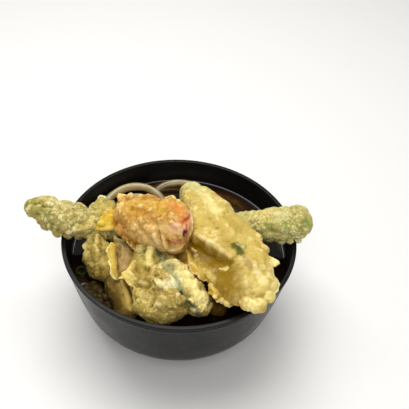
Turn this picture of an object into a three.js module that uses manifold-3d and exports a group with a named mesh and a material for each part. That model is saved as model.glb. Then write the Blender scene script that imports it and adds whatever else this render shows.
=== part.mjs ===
// A bowl of udon noodle soup heaped with tempura: black bowl, broth, noodles and fried pieces.
// Millimetres, +Z up. The bowl stands on z = 0. Heights called "rise" are measured from the plane of
// the bowl's rim, positive upwards, because everything in the bowl is laid out from its rim.
import * as THREE from "three";
import { mergeVertices } from "three/addons/utils/BufferGeometryUtils.js";
import Module from "manifold-3d";

// ---------------------------------------------------------------- driving sizes
const bowlAxisX = 9.3; // the fried pieces overhang the rim more on the left than on the right
const bowlAxisY = 0;
const bowl = {
  height: 86,
  rimRadius: 91.2,
  lipHeight: 3.2, // the turned edge at the top of the wall
  lipOverhang: 0.9, // how far the lip stands out past the wall
  lipWidth: 3.3,
  lipRound: 0.9, // how far its corners are taken off
  wallThickness: 2.3,
  wallSlope: 0.15, // how fast the upper wall narrows going down
  wallBend: 0.0012, // and how much faster with each millimetre
  shoulderZ: 36, // where the straight upper wall turns in towards the foot
  footRadius: 43,
  footHeight: 6.5,
  footRingWidth: 7,
  footChamfer: 1,
  recessHeight: 2,
  recessSlope: 1.5,
  floorZ: 6.8, // the inside floor
  floorRadius: 31,
  sectors: 40,
};
const broth = { rise: -19.2, depth: 4 };
const gap = 0.35; // clear space kept between pieces that touch
const noodle = { radius: 3.4, sides: 6, stepLength: 9 };
const onion = { x: -73, y: -29, radius: 3.4, thickness: 1, tiltDegrees: 14 };
const heap = { topDrop: 4.4 };

const colours = {
  bowl: 0x1b1b1d,
  broth: 0x2a1a0c,
  noodles: 0xd8c68e,
  asparagus: 0xb9b96c,
  crab: 0xe0aa5c,
  pale: 0xe2cf7c,
  leafy: 0xc9c080,
  folded: 0xcdb866,
  soaked: 0x6b5526,
};

// ---------------------------------------------------------------- solids
const wasm = await Module();
wasm.setup();

// A closed three.js geometry as a manifold-3d solid.
function solidOf(geometry) {
  const bare = new THREE.BufferGeometry();
  bare.setAttribute("position", geometry.getAttribute("position"));
  bare.setIndex(geometry.index);
  const merged = mergeVertices(bare, 1e-4);
  return new wasm.Manifold(
    new wasm.Mesh({
      numProp: 3,
      vertProperties: merged.attributes.position.array,
      triVerts: new Uint32Array(merged.index.array),
    }),
  );
}

// The same geometry with its faces turned round.
function flipped(geometry) {
  const index = Array.from(geometry.index.array);
  for (let i = 0; i < index.length; i += 3) [index[i], index[i + 1]] = [index[i + 1], index[i]];
  const turned = geometry.clone();
  turned.setIndex(index);
  return turned;
}

// A closed geometry as a solid whose faces point out, whichever way round it was made.
function outwardSolid(geometry) {
  const solid = solidOf(geometry);
  return solid.volume() < 0 ? solidOf(flipped(geometry)) : solid;
}

// A manifold-3d solid as a three.js geometry.
function geometryOf(solid) {
  const mesh = solid.getMesh();
  const geometry = new THREE.BufferGeometry();
  geometry.setAttribute("position", new THREE.BufferAttribute(mesh.vertProperties, 3));
  geometry.setIndex(new THREE.BufferAttribute(mesh.triVerts, 1));
  geometry.computeVertexNormals();
  return geometry;
}

// The largest body of a solid: a cut can leave loose scraps beside it.
function largestBody(solid) {
  const bodies = solid.decompose();
  return bodies.reduce((best, body) => (body.volume() > best.volume() ? body : best));
}

const joined = (solids) => solids.reduce((all, solid) => all.add(solid));

function cutBy(solid, others) {
  return largestBody(others.reduce((left, other) => left.subtract(other), solid));
}

// ---------------------------------------------------------------- relief
// A repeatable number from 0 to 1 for a cell of a grid.
function cellNumber(i, j, k, n) {
  const s = Math.sin(i * 127.1 + j * 311.7 + k * 74.7 + n * 53.3) * 43758.5453;
  return s - Math.floor(s);
}

// Rounded bumps of about the given size: 1 at the middle of a bump, 0 in the creases between them.
function bumps(x, y, z, size) {
  const [a, b, c] = [x / size, y / size, z / size];
  let nearest = 9;
  for (let i = Math.floor(a) - 1; i <= Math.floor(a) + 1; i++)
    for (let j = Math.floor(b) - 1; j <= Math.floor(b) + 1; j++)
      for (let k = Math.floor(c) - 1; k <= Math.floor(c) + 1; k++) {
        const dx = i + cellNumber(i, j, k, 1) - a;
        const dy = j + cellNumber(i, j, k, 2) - b;
        const dz = k + cellNumber(i, j, k, 3) - c;
        nearest = Math.min(nearest, dx * dx + dy * dy + dz * dz);
      }
  return Math.max(0, 1 - 1.15 * nearest);
}

// ---------------------------------------------------------------- a fried piece's body
// A ridged section, as [angle in degrees, share of the plain radius]: angle 0 is the side of the
// piece that its hollow is on and 90 is straight up.
const ridged = [
  [-60, 1],
  [0, 1.02],
  [26, 0.7],
  [62, 1.42],
  [105, 1.18],
  [150, 1.04],
  [190, 1],
  [301, 1],
];

// The section's share at an angle, eased from one of its points to the next.
function sectionShare(section, degrees) {
  const turned = degrees < section[0][0] ? degrees + 360 : degrees;
  const next = Math.max(1, section.findIndex(([angle]) => angle > turned));
  const [[fromAngle, fromShare], [toAngle, toShare]] = section.slice(next - 1, next + 1);
  const eased = THREE.MathUtils.smoothstep(turned, fromAngle, toAngle);
  return THREE.MathUtils.lerp(fromShare, toShare, eased);
}

// A long rounded body along stations of [x, y, rise, half width, half height, ridge]. Its ends are
// domed over the share `dome` of its length, and bumps stand out of its skin. The ridge, from 0 to 1
// and 0 if left out, is how much of the ridged section a station has.
function podShape({ stations, dome, relief, rings, sectors }) {
  const line = new THREE.CatmullRomCurve3(
    stations.map(([x, y, rise]) => new THREE.Vector3(x, y, bowl.height + rise)),
    false,
    "centripetal",
  );
  const between = (t, column) => {
    const at = t * (stations.length - 1);
    const low = Math.min(Math.floor(at), stations.length - 2);
    const share = at - low;
    const smooth = share * share * (3 - 2 * share);
    const [from, to] = [stations[low][column] ?? 0, stations[low + 1][column] ?? 0];
    return from + (to - from) * smooth;
  };
  return (grow) => {
    const sphere = new THREE.SphereGeometry(1, sectors, rings);
    const position = sphere.getAttribute("position");
    for (let i = 0; i < position.count; i++) {
      const [sx, sy, sz] = [position.getX(i), position.getY(i), position.getZ(i)];
      const t = Math.acos(THREE.MathUtils.clamp(sy, -1, 1)) / Math.PI;
      const angle = Math.atan2(sz, sx);
      const end = Math.min(t, 1 - t) / dome;
      const fullness = end >= 1 ? 1 : Math.sqrt(Math.max(0, 1 - (1 - end) ** 2));
      const ahead = line.getTangent(t);
      const side = new THREE.Vector3().crossVectors(ahead, new THREE.Vector3(0, 0, 1)).normalize();
      const up = new THREE.Vector3().crossVectors(side, ahead);
      const share = sectionShare(ridged, THREE.MathUtils.radToDeg(angle));
      const out = side
        .multiplyScalar(Math.cos(angle) * between(t, 3))
        .addScaledVector(up, Math.sin(angle) * between(t, 4))
        .multiplyScalar(fullness * THREE.MathUtils.lerp(1, share, between(t, 5)));
      const onAxis = fullness < 1e-3;
      const direction = onAxis
        ? ahead.clone().multiplyScalar(t < 0.5 ? -1 : 1)
        : out.clone().normalize();
      const point = line.getPoint(t).add(out);
      const bump = bumps(point.x, point.y, point.z, relief.size) - 0.6;
      point.addScaledVector(direction, grow + relief.height * bump);
      position.setXYZ(i, point.x, point.y, point.z);
    }
    return outwardSolid(sphere);
  };
}

// A thin crisp flap of batter. Its root and its free edge are rows of [x, y, rise], and the free edge
// ruffles up and down by `ruffle`.
function flapShape({ root, edge, thickness, ruffle, waves, steps, across = 2 }) {
  const curve = (points) =>
    new THREE.CatmullRomCurve3(points.map(([x, y, r]) => new THREE.Vector3(x, y, bowl.height + r)));
  const [inner, outer] = [curve(root), curve(edge)];
  return (grow) => {
    const half = thickness / 2 + grow;
    const rows = [];
    for (const face of [1, -1])
      for (let i = 0; i <= steps; i++)
        for (let j = 0; j <= across; j++) {
          const share = j / across;
          const point = inner.getPoint(i / steps).lerp(outer.getPoint(i / steps), share);
          point.z += ruffle * share * Math.sin((i / steps) * waves * 2 * Math.PI + 0.8);
          point.z += face * half * (share > 0.99 ? 0.6 : 1);
          rows.push(point.x, point.y, point.z);
        }
    const at = (face, i, j) => (face * (steps + 1) + i) * (across + 1) + j;
    const index = [];
    const quad = (a, b, c, d) => index.push(a, b, c, a, c, d);
    for (let i = 0; i < steps; i++)
      for (let j = 0; j < across; j++) {
        quad(at(0, i, j), at(0, i + 1, j), at(0, i + 1, j + 1), at(0, i, j + 1));
        quad(at(1, i, j), at(1, i, j + 1), at(1, i + 1, j + 1), at(1, i + 1, j));
      }
    for (let i = 0; i < steps; i++) {
      quad(at(0, i, 0), at(1, i, 0), at(1, i + 1, 0), at(0, i + 1, 0));
      quad(at(0, i, across), at(0, i + 1, across), at(1, i + 1, across), at(1, i, across));
    }
    for (let j = 0; j < across; j++) {
      quad(at(0, 0, j), at(0, 0, j + 1), at(1, 0, j + 1), at(1, 0, j));
      quad(at(0, steps, j), at(1, steps, j), at(1, steps, j + 1), at(0, steps, j + 1));
    }
    const geometry = new THREE.BufferGeometry();
    geometry.setAttribute("position", new THREE.Float32BufferAttribute(rows, 3));
    geometry.setIndex(index);
    return outwardSolid(geometry);
  };
}

// A fried piece: its shapes fused into one. Called with a growth, it is that much fatter all over,
// which is what its neighbours are cut by.
const friedPiece =
  (...shapes) =>
  (grow = 0) =>
    joined(shapes.map((shape) => shape(grow)));

// ---------------------------------------------------------------- bowl and broth
const brothTop = bowl.height + broth.rise;

const wallRadius = (z) => {
  const drop = bowl.height - bowl.lipHeight - z;
  return (
    bowl.rimRadius - bowl.lipOverhang - bowl.wallSlope * drop - bowl.wallBend * drop * drop
  );
};

// The turn from the upper wall to the foot, as points from the top down.
function lowerCurve(inset, endRadius, endZ, steps) {
  const top = new THREE.Vector2(wallRadius(bowl.shoulderZ) - inset, bowl.shoulderZ);
  const slope = wallRadius(bowl.shoulderZ) - wallRadius(bowl.shoulderZ - 1);
  const curve = new THREE.CubicBezierCurve(
    top,
    new THREE.Vector2(top.x - slope * 15, top.y - 15),
    new THREE.Vector2(endRadius + 20, endZ + 4.5),
    new THREE.Vector2(endRadius, endZ),
  );
  return curve.getPoints(steps);
}

function lathedSolid(points) {
  return outwardSolid(new THREE.LatheGeometry(points, bowl.sectors).rotateX(Math.PI / 2));
}

const point = (radius, z) => new THREE.Vector2(radius, z);

function bowlSolid() {
  const top = bowl.height;
  const footInside = bowl.footRadius - bowl.footRingWidth;
  const lipInside = bowl.rimRadius - bowl.lipWidth;
  const lipZ = top - bowl.lipHeight;
  const middleZ = (lipZ + bowl.shoulderZ) / 2;
  const outside = [
    point(0, bowl.recessHeight),
    point(footInside - bowl.recessSlope, bowl.recessHeight),
    point(footInside, 0),
    point(bowl.footRadius - bowl.footChamfer, 0),
    ...lowerCurve(0, bowl.footRadius, bowl.footHeight, 4).reverse(),
    point(wallRadius(middleZ), middleZ),
    point(wallRadius(lipZ), lipZ),
  ];
  const lip = [
    point(bowl.rimRadius, lipZ + 0.5),
    point(bowl.rimRadius, top - bowl.lipRound),
    point(bowl.rimRadius - bowl.lipRound, top),
    point(lipInside + bowl.lipRound, top),
    point(lipInside, top - bowl.lipRound),
  ];
  return lathedSolid([...outside, ...lip, ...insideWall(), point(0, bowl.floorZ)]);
}

// The inner wall from the broth's surface down to the edge of the floor.
function insideWall() {
  const middleZ = (brothTop + bowl.shoulderZ) / 2;
  return [
    point(wallRadius(brothTop) - bowl.wallThickness, brothTop),
    point(wallRadius(middleZ) - bowl.wallThickness, middleZ),
    ...lowerCurve(bowl.wallThickness, bowl.floorRadius, bowl.floorZ + 0.6, 4),
  ];
}

// The same wall moved in and up by the gap, for what lies in the bowl.
const clearOfWall = () => insideWall().map((p) => point(p.x - gap, p.y + gap));

// The inside of the bowl up to a height, a little clear of its wall, on every second wall point.
function filledTo(highZ) {
  const wall = clearOfWall().filter((p, i) => p.y < highZ - 1 && i % 2 === 0);
  const top = point(wallRadius(highZ) - bowl.wallThickness - gap, highZ);
  return lathedSolid([point(0, bowl.floorZ + gap), ...wall.reverse(), top, point(0, highZ)]);
}

// A flat layer across the bowl between two heights.
function layerBetween(lowZ, highZ) {
  const wallPoint = (z) => point(wallRadius(z) - bowl.wallThickness - gap, z);
  return lathedSolid([point(0, lowZ), wallPoint(lowZ), wallPoint(highZ), point(0, highZ)]);
}

// ---------------------------------------------------------------- noodles
// One noodle along points of [x, y, rise], its ends sunk in the heap below.
function noodleShape(points) {
  const path = new THREE.CatmullRomCurve3(
    points.map(([x, y, rise]) => new THREE.Vector3(x, y, bowl.height + rise)),
  );
  const steps = Math.round(path.getLength() / noodle.stepLength);
  return (grow) => {
    const corners = [];
    for (let i = 0; i < noodle.sides; i++) {
      const angle = (i / noodle.sides) * 2 * Math.PI;
      const radius = noodle.radius + grow;
      corners.push(new THREE.Vector2(radius * Math.cos(angle), radius * Math.sin(angle)));
    }
    const settings = { steps, bevelEnabled: false, extrudePath: path };
    return solidOf(new THREE.ExtrudeGeometry(new THREE.Shape(corners), settings));
  };
}

// The noodles that show round the back of the bowl, and the two that lie over the mound.
const deep = -31; // where a noodle's ends are, inside the heap
const noodlePaths = [
  [
    [-58, 24, deep],
    [-64, 35, -20],
    [-65, 46, -15],
    [-57, 57.5, -13],
    [-46, 64.5, -13],
    [-33, 65, -14],
    [-22, 59, -17],
    [-14, 48, -23],
    [-10, 42, deep],
  ],
  [
    [-48, 30, deep],
    [-56, 40, -20],
    [-53, 49, -17.5],
    [-44, 55, -16.5],
    [-34, 56, -18],
    [-26, 49, -23],
    [-20, 42, deep],
  ],
  [
    [-32, 66, deep],
    [-26, 71, -22],
    [-17, 76.5, -18.5],
    [-4, 78.5, -17],
    [9, 76, -18],
    [18, 69, -21],
    [22, 62, deep],
  ],
  [
    [6, 54, deep],
    [14, 62, -20],
    [26, 67, -17.5],
    [39, 64, -17],
    [50, 55, -18],
    [55, 44, -22],
    [53, 36, deep],
  ],
  [
    [22, 46, deep],
    [29, 52, -20],
    [38, 52, -17],
    [45, 44, -17],
    [46, 32, -20],
    [42, 25, deep],
  ],
  [
    [-38, 30, deep],
    [-29, 38, -15],
    [-14, 43, -7.5],
    [2, 41, -7],
    [16, 34, -12],
    [28, 30, deep],
  ],
  [
    [-42, 12, deep],
    [-33, 20, -13],
    [-18, 27, -5.5],
    [0, 24, -4.5],
    [20, 24, -12],
    [34, 26, deep],
  ],
  [
    [30, 70, deep],
    [39, 68, -21.5],
    [50, 60.5, -18.5],
    [61, 49, -18],
    [68, 37, -20],
    [67, 28, deep],
  ],
];

// The noodles: a core up to just under the broth, a mound on it under the fried pieces, and the
// strands that show fused on.
function noodleHeap(grow = 0) {
  const core = filledTo(brothTop - heap.topDrop + grow);
  const mound = podShape({
    stations: [
      [0, 62, -24, 14, 9],
      [-3, 46, -20, 26, 12],
      [-5, 24, -18, 30, 14],
      [-6, 2, -17, 25, 14.5],
      [-2, -18, -20, 18, 10],
    ],
    dome: 0.3,
    relief: { size: 12, height: 4 },
    rings: 9,
    sectors: 11,
  });
  return joined([core, mound(grow), ...noodlePaths.map((path) => noodleShape(path)(grow))]);
}

// A slice of spring onion, a ring half sunk in the broth beside the left wall.
function onionRing() {
  const { x, y, radius, thickness, tiltDegrees } = onion;
  const ring = new THREE.TorusGeometry(radius, thickness, 6, 12);
  ring.rotateX(THREE.MathUtils.degToRad(tiltDegrees));
  ring.translate(x, y, brothTop);
  return solidOf(ring);
}

// ---------------------------------------------------------------- the fried pieces
const asparagusTip = friedPiece(
  podShape({
    stations: [
      [-120, 3, 17, 3.5, 3],
      [-113.5, 1, 16, 8, 7],
      [-105, -0.5, 14.5, 11, 10],
      [-93, -3, 12, 12, 11.5],
      [-81, -2.5, 9, 12.5, 12],
      [-68, 1.5, 2.5, 12, 12],
      [-55, 6, -5, 11, 11],
      [-42, 11, -12, 9, 9],
    ],
    dome: 0.1,
    relief: { size: 8, height: 5 },
    rings: 23,
    sectors: 12,
  }),
  podShape({
    stations: [
      [-72, 13, 1, 7, 7],
      [-61, 16, 2, 10, 9],
      [-51, 14, -1, 8, 8],
    ],
    dome: 0.45,
    relief: { size: 8, height: 4 },
    rings: 8,
    sectors: 10,
  }),
);

const asparagusStalk = friedPiece(
  podShape({
    stations: [
      [101.5, 10.5, 14.5, 11, 9.5],
      [92, 9.5, 13, 13, 12.5],
      [82, 8.5, 10.5, 13, 13],
      [70, 9.5, 7.5, 12.5, 12.5],
      [60, 14, 1, 11, 11],
      [51, 22, -6, 10, 9],
      [42, 31, -13, 8, 8],
    ],
    dome: 0.13,
    relief: { size: 8, height: 4.4 },
    rings: 21,
    sectors: 13,
  }),
);

const crabStick = friedPiece(
  podShape({
    stations: [
      [-51, 6, 11, 9, 10],
      [-42, 2, 13, 14, 15],
      [-31, -3, 14.5, 17, 17],
      [-18, -7, 16, 19, 18],
      [-7, -10.5, 17, 19, 18.5],
      [2, -12, 17, 18.5, 18],
      [9.5, -12.5, 16.5, 15, 15],
    ],
    dome: 0.2,
    relief: { size: 10, height: 6 },
    rings: 21,
    sectors: 17,
  }),
  flapShape({
    root: [
      [-44, 5, 10],
      [-44, -4, 6],
      [-40, -10, 5],
    ],
    edge: [
      [-70, -3, 7],
      [-63, -8, 6],
      [-50, -13, 6],
    ],
    thickness: 3.4,
    ruffle: 1.6,
    waves: 2,
    steps: 8,
  }),
);

const longFritter = friedPiece(
  podShape({
    stations: [
      [1, 61, -8, 5.5, 5],
      [5, 51, -3, 9.5, 9],
      [12.5, 34, 3, 15, 12, 0.1],
      [22, 13, 6, 21, 12.5, 0.5],
      [31, -9, 7, 26, 12.5, 1],
      [41, -29, 7.5, 28, 12.5, 1],
      [49, -46, 8.5, 26.5, 12, 0.55],
      [56, -60, 9.5, 22.5, 10.5, 0.1],
      [64, -73, 9.5, 14, 9],
    ],
    dome: 0.13,
    relief: { size: 11, height: 6 },
    rings: 30,
    sectors: 18,
  }),
  flapShape({
    root: [
      [16, -10, 4],
      [20, -27, 3],
      [28, -40, 3],
      [38, -54, 4],
    ],
    edge: [
      [-4, -17, 2],
      [6, -33, 1],
      [15, -44, 1],
      [28, -56, 4],
    ],
    thickness: 3,
    ruffle: 1.8,
    waves: 3,
    steps: 12,
  }),
);

const leafyFritter = friedPiece(
  podShape({
    stations: [
      [-19, -12, -8, 14, 11],
      [-16, -24, -6, 21, 15],
      [-12, -38, -5, 27, 17],
      [-6, -52, -5, 27.5, 17.5],
      [0, -64, -7, 26, 15],
      [4, -73, -10, 19, 11],
    ],
    dome: 0.2,
    relief: { size: 12, height: 8 },
    rings: 20,
    sectors: 20,
  }),
  podShape({
    stations: [
      [-36, -64, -3, 6, 7],
      [-27, -67, -3, 8, 9],
      [-18, -70, -4, 6, 7],
    ],
    dome: 0.45,
    relief: { size: 8, height: 4 },
    rings: 8,
    sectors: 10,
  }),
  flapShape({
    root: [
      [-24, -30, 0],
      [-26, -44, 1],
      [-24, -58, -1],
    ],
    edge: [
      [-34, -32, 0],
      [-41, -49, 2],
      [-31, -63, 0],
    ],
    thickness: 5,
    ruffle: 2,
    waves: 2,
    steps: 10,
  }),
);

const foldedFritter = friedPiece(
  podShape({
    stations: [
      [-59, -3, -8, 6, 7],
      [-63, -16, -7, 10, 12],
      [-62, -29, -8.5, 11, 12.5],
      [-57, -39, -11, 10, 11],
      [-50, -48, -14.5, 8, 8],
    ],
    dome: 0.26,
    relief: { size: 9, height: 5 },
    rings: 13,
    sectors: 12,
  }),
  podShape({
    stations: [
      [-51, -6, -11, 7, 8],
      [-44.5, -18, -9, 9.5, 11],
      [-42, -30, -9.5, 10, 11],
      [-42, -42, -13, 8.5, 8],
    ],
    dome: 0.3,
    relief: { size: 10, height: 3.5 },
    rings: 10,
    sectors: 10,
  }),
  podShape({
    stations: [
      [-50, -36, -12, 8, 8],
      [-44, -48, -13.5, 11, 9],
      [-38, -60, -16, 11, 8],
      [-33, -69, -19, 8, 5],
    ],
    dome: 0.3,
    relief: { size: 10, height: 3 },
    rings: 10,
    sectors: 10,
  }),
);

const soakedCrumbs = friedPiece(
  podShape({
    stations: [
      [-67, -40, -22, 6, 5],
      [-62, -48, -21, 9, 6],
      [-54, -56, -21, 9, 5.5],
      [-45, -64, -22, 6, 4],
    ],
    dome: 0.3,
    relief: { size: 6, height: 5 },
    rings: 11,
    sectors: 10,
  }),
);

const soakedStrip = friedPiece(
  podShape({
    stations: [
      [20, -44, -18, 7, 5],
      [30, -54, -17.5, 9, 6],
      [38, -63, -20, 7, 5],
    ],
    dome: 0.35,
    relief: { size: 8, height: 3 },
    rings: 10,
    sectors: 10,
  }),
);

// ---------------------------------------------------------------- the whole
// Top piece first: each piece is pressed into by the ones laid over it.
const laidOver = [
  ["crab_stick_fritter", crabStick, colours.crab],
  ["long_fritter", longFritter, colours.pale],
  ["leafy_fritter", leafyFritter, colours.leafy],
  ["folded_fritter", foldedFritter, colours.folded],
  ["asparagus_tip", asparagusTip, colours.asparagus],
  ["asparagus_stalk", asparagusStalk, colours.asparagus],
  ["soaked_strip", soakedStrip, colours.soaked],
  ["soaked_crumbs", soakedCrumbs, colours.soaked],
];

// The bowl fattened by the gap and solid under its flare, which the food is cut clear of.
function bowlCutter() {
  const lipZ = bowl.height - bowl.lipHeight;
  const lipInside = bowl.rimRadius - bowl.lipWidth;
  const around = [
    point(0, -1),
    point(bowl.rimRadius + gap, -1),
    point(bowl.rimRadius + gap, lipZ),
    point(bowl.rimRadius + gap, bowl.height - bowl.lipRound),
    point(bowl.rimRadius - bowl.lipRound, bowl.height + gap),
    point(lipInside + bowl.lipRound, bowl.height + gap),
    point(lipInside - gap, bowl.height - bowl.lipRound),
    ...clearOfWall(),
    point(0, bowl.floorZ + gap),
  ];
  return lathedSolid(around);
}

const parts = [["bowl", bowlSolid(), colours.bowl]];
const cutters = [bowlCutter()];
for (const [name, piece, colour] of laidOver) {
  parts.push([name, cutBy(piece(), cutters), colour]);
  cutters.push(piece(gap));
}
const fried = cutters.slice(1);
parts.push(["noodles", cutBy(noodleHeap(), fried), colours.noodles]);
const layer = layerBetween(brothTop - broth.depth, brothTop);
const soup = cutBy(layer, [...fried, noodleHeap(gap)]).add(onionRing());
parts.push(["broth", soup, colours.broth]);

const dish = new THREE.Group();
dish.position.set(bowlAxisX, bowlAxisY, 0);
for (const [name, solid, colour] of parts) {
  const shiny = name === "bowl" || name === "broth";
  const material = new THREE.MeshStandardMaterial({
    color: colour,
    roughness: shiny ? 0.2 : 0.6,
    metalness: 0,
  });
  const mesh = new THREE.Mesh(geometryOf(solid), material);
  mesh.name = name;
  dish.add(mesh);
}

const root = new THREE.Group();
root.add(dish);
export default root;
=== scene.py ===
"""The visible surfaces of a bowl of udon heaped with fried pieces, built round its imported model.

Places are rows of [x, y, rise] in millimetres: x and y from the bowl's own axis, and rise upwards from
the plane of its rim. Arrays of points are [x, y, z] with z measured from the table instead.
"""

import itertools
import math
from collections import namedtuple

import bpy
import numpy as np
from bpy.props import FloatProperty, FloatVectorProperty, PointerProperty
from mathutils import Matrix, Vector


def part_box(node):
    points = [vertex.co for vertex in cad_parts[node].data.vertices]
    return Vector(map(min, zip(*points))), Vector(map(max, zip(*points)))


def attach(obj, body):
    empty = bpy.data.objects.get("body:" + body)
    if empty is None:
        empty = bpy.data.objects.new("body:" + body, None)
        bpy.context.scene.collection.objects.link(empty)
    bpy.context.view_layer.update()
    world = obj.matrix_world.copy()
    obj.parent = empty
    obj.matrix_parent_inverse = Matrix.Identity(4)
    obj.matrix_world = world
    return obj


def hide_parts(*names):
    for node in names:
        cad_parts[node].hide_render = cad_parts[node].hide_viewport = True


bl_info = {
    "name": "Udon Bowl with Fried Pieces",
    "version": (1, 0, 0),
    "blender": (4, 5, 0),
    "location": "3D View > Sidebar > Udon",
    "description": "Dresses the packed model of an udon bowl with its batter, noodles, broth and bowl",
    "category": "Add Mesh",
}

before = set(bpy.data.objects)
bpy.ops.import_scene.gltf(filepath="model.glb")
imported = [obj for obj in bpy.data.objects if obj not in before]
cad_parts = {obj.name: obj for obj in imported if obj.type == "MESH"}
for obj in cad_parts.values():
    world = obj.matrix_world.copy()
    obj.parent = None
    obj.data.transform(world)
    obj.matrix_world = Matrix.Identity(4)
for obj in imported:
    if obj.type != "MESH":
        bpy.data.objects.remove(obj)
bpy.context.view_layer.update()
BOWL_LOW, BOWL_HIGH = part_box("bowl")
MM = 0.001
AXIS_X = (BOWL_LOW[0] + BOWL_HIGH[0]) / 2
AXIS_Y = (BOWL_LOW[1] + BOWL_HIGH[1]) / 2
RIM_Z = BOWL_HIGH[2] / MM


# ------------------------------------------------------------------ colours
def tone(red, green, blue):
    """A colour given as screen values from 0 to 255, as the linear values that a shader takes."""
    share = np.array([red, green, blue]) / 255
    low = share / 12.92
    high = ((share + 0.055) / 1.055) ** 2.4
    return tuple(float(v) for v in np.where(share <= 0.04045, low, high))


# ------------------------------------------------------------------ repeatable noise
CELL_WAVES = (127.1, 311.7, 74.7, 53.3)
CELL_GAIN = 43758.5453
NEIGHBOURS = np.array(list(itertools.product((-1, 0, 1), repeat=3)), float)
CORNERS = np.array(list(itertools.product((0, 1), repeat=3)), float)
TURNED = np.array(Matrix.Rotation(0.9, 3, Vector((1, 2, 0.6))))


def cell_number(cells, number):
    """A repeatable number from 0 to 1 for each cell: the fraction of a large sine of its place."""
    a, b, c, d = CELL_WAVES
    wave = CELL_GAIN * np.sin(cells[:, 0] * a + cells[:, 1] * b + cells[:, 2] * c + number * d)
    return wave - np.floor(wave)


def bumps(points, size):
    """Rounded bumps of a size: one less 1.15 times the squared distance to the nearest cell's point."""
    at = points / size
    home = np.floor(at)
    nearest = np.full(len(points), 9.0)
    for step in NEIGHBOURS:
        cell = home + step
        middle = cell + np.column_stack([cell_number(cell, n) for n in (1, 2, 3)])
        nearest = np.minimum(nearest, ((middle - at) ** 2).sum(axis=1))
    return np.maximum(0, 1 - 1.15 * nearest)


def drift(points, size, number):
    """Smooth noise from -1 to 1: the numbers of a cell's eight corners, eased from one to the next."""
    at = points / size
    home = np.floor(at)
    share = at - home
    share = share * share * (3 - 2 * share)
    total = np.zeros(len(points))
    for corner in CORNERS:
        weight = np.prod(np.where(corner == 1, share, 1 - share), axis=1)
        total += weight * cell_number(home + corner, number)
    return 2 * total - 1


def folds(points, size):
    """Soft folds with sharp creases between them: the sizes of two noises, regardless of their signs."""
    broad = np.abs(drift(points, size, 71))
    fine = np.abs(drift(points @ TURNED.T, size * 0.47, 72))
    return 1.5 * broad + 0.7 * fine - 0.75


def wandered(points, size, reach):
    """Points moved up to reach by smooth noise, so that what is laid out on them isn't regular."""
    moves = [drift(points, size, number) for number in (21, 22, 23)]
    return points + reach * np.column_stack(moves)


# ------------------------------------------------------------------ curves and surfaces
def eased(share):
    """A share from 0 to 1 with a smooth start and end."""
    share = np.clip(share, 0, 1)
    return share * share * (3 - 2 * share)


def table_points(rows):
    """Rows of [x, y, rise] as points measured from the table."""
    points = np.array([row[:3] for row in rows], float)
    points[:, 2] += RIM_Z
    return points


def spline(rows, t):
    """A centripetal Catmull-Rom curve through the rows, at shares t of its spans."""
    padded = np.vstack([2 * rows[0] - rows[1], rows, 2 * rows[-1] - rows[-2]])
    at = np.clip(t, 0, 1) * (len(rows) - 1)
    low = np.minimum(np.floor(at).astype(int), len(rows) - 2)
    share = (at - low)[:, None]
    a, b, c, d = (padded[low + k] for k in range(4))
    before, between, after = (
        np.sqrt(np.linalg.norm(q - p, axis=1))[:, None] for p, q in ((a, b), (b, c), (c, d))
    )
    start = (b - a) / before - (c - a) / (before + between) + (c - b) / between
    stop = (c - b) / between - (d - b) / (between + after) + (d - c) / after
    start, stop = start * between, stop * between
    square = -3 * b + 3 * c - 2 * start - stop
    cube = 2 * b - 2 * c + start + stop
    return b + start * share + square * share**2 + cube * share**3


def unit(vectors):
    """The vectors at length one."""
    return vectors / np.maximum(np.linalg.norm(vectors, axis=-1, keepdims=True), 1e-9)


def directions(rows, t):
    """The directions along a spline, from points a little before and after each share."""
    nudge = 1e-3
    return unit(spline(rows, t + nudge) - spline(rows, t - nudge))


def level_frame(ahead):
    """The directions across a path: to its side, kept level, and up from it."""
    side = unit(np.cross(ahead, (0, 0, 1)))
    return side, np.cross(side, ahead)


def angles(count):
    """Angles evenly round a circle."""
    return np.linspace(0, 2 * math.pi, count, endpoint=False)


def fullness_of(t, end_share):
    """From 0 at both ends to 1 at a share of the length from them, as a quarter circle rises."""
    end = np.minimum(np.minimum(t, 1 - t) / end_share, 1)
    return np.sqrt(1 - (1 - end) ** 2)


def end_spaced(count):
    """Shares from nearly 0 to nearly 1, closer together at both ends, as a cosine gives."""
    inset = 0.006
    return (1 - np.cos(np.linspace(inset, math.pi - inset, count))) / 2


Skin = namedtuple("Skin", "points quads tris")
NO_TRIS = np.zeros((0, 3), int)


def closed_skin(rings):
    """Rings of points joined into one closed surface, each end drawn to a point at its ring's middle."""
    count, around = rings.shape[:2]
    points = np.vstack([rings[0].mean(axis=0), rings.reshape(-1, 3), rings[-1].mean(axis=0)])
    row = 1 + np.arange(count - 1)[:, None] * around
    here = np.arange(around)[None, :]
    after = (here + 1) % around
    quads = np.stack([row + here, row + after, row + around + after, row + around + here], -1)
    here, after = here[0], after[0]
    last = 1 + (count - 1) * around
    start_cap = np.column_stack([np.zeros(around, int), 1 + after, 1 + here])
    end_cap = np.column_stack([np.full(around, len(points) - 1), last + here, last + after])
    return outward(Skin(points, quads.reshape(-1, 4), np.vstack([start_cap, end_cap])))


def outward(skin):
    """The surface with its faces pointing out: they are turned where the volume comes out negative."""
    points, quads, tris = skin
    halves = np.vstack([quads[:, [0, 1, 2]], quads[:, [0, 2, 3]], tris])
    a, b, c = (points[halves[:, k]] for k in range(3))
    if np.einsum("ij,ij->i", a, np.cross(b, c)).sum() < 0:
        return Skin(points, quads[:, ::-1], tris[:, ::-1])
    return skin


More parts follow.
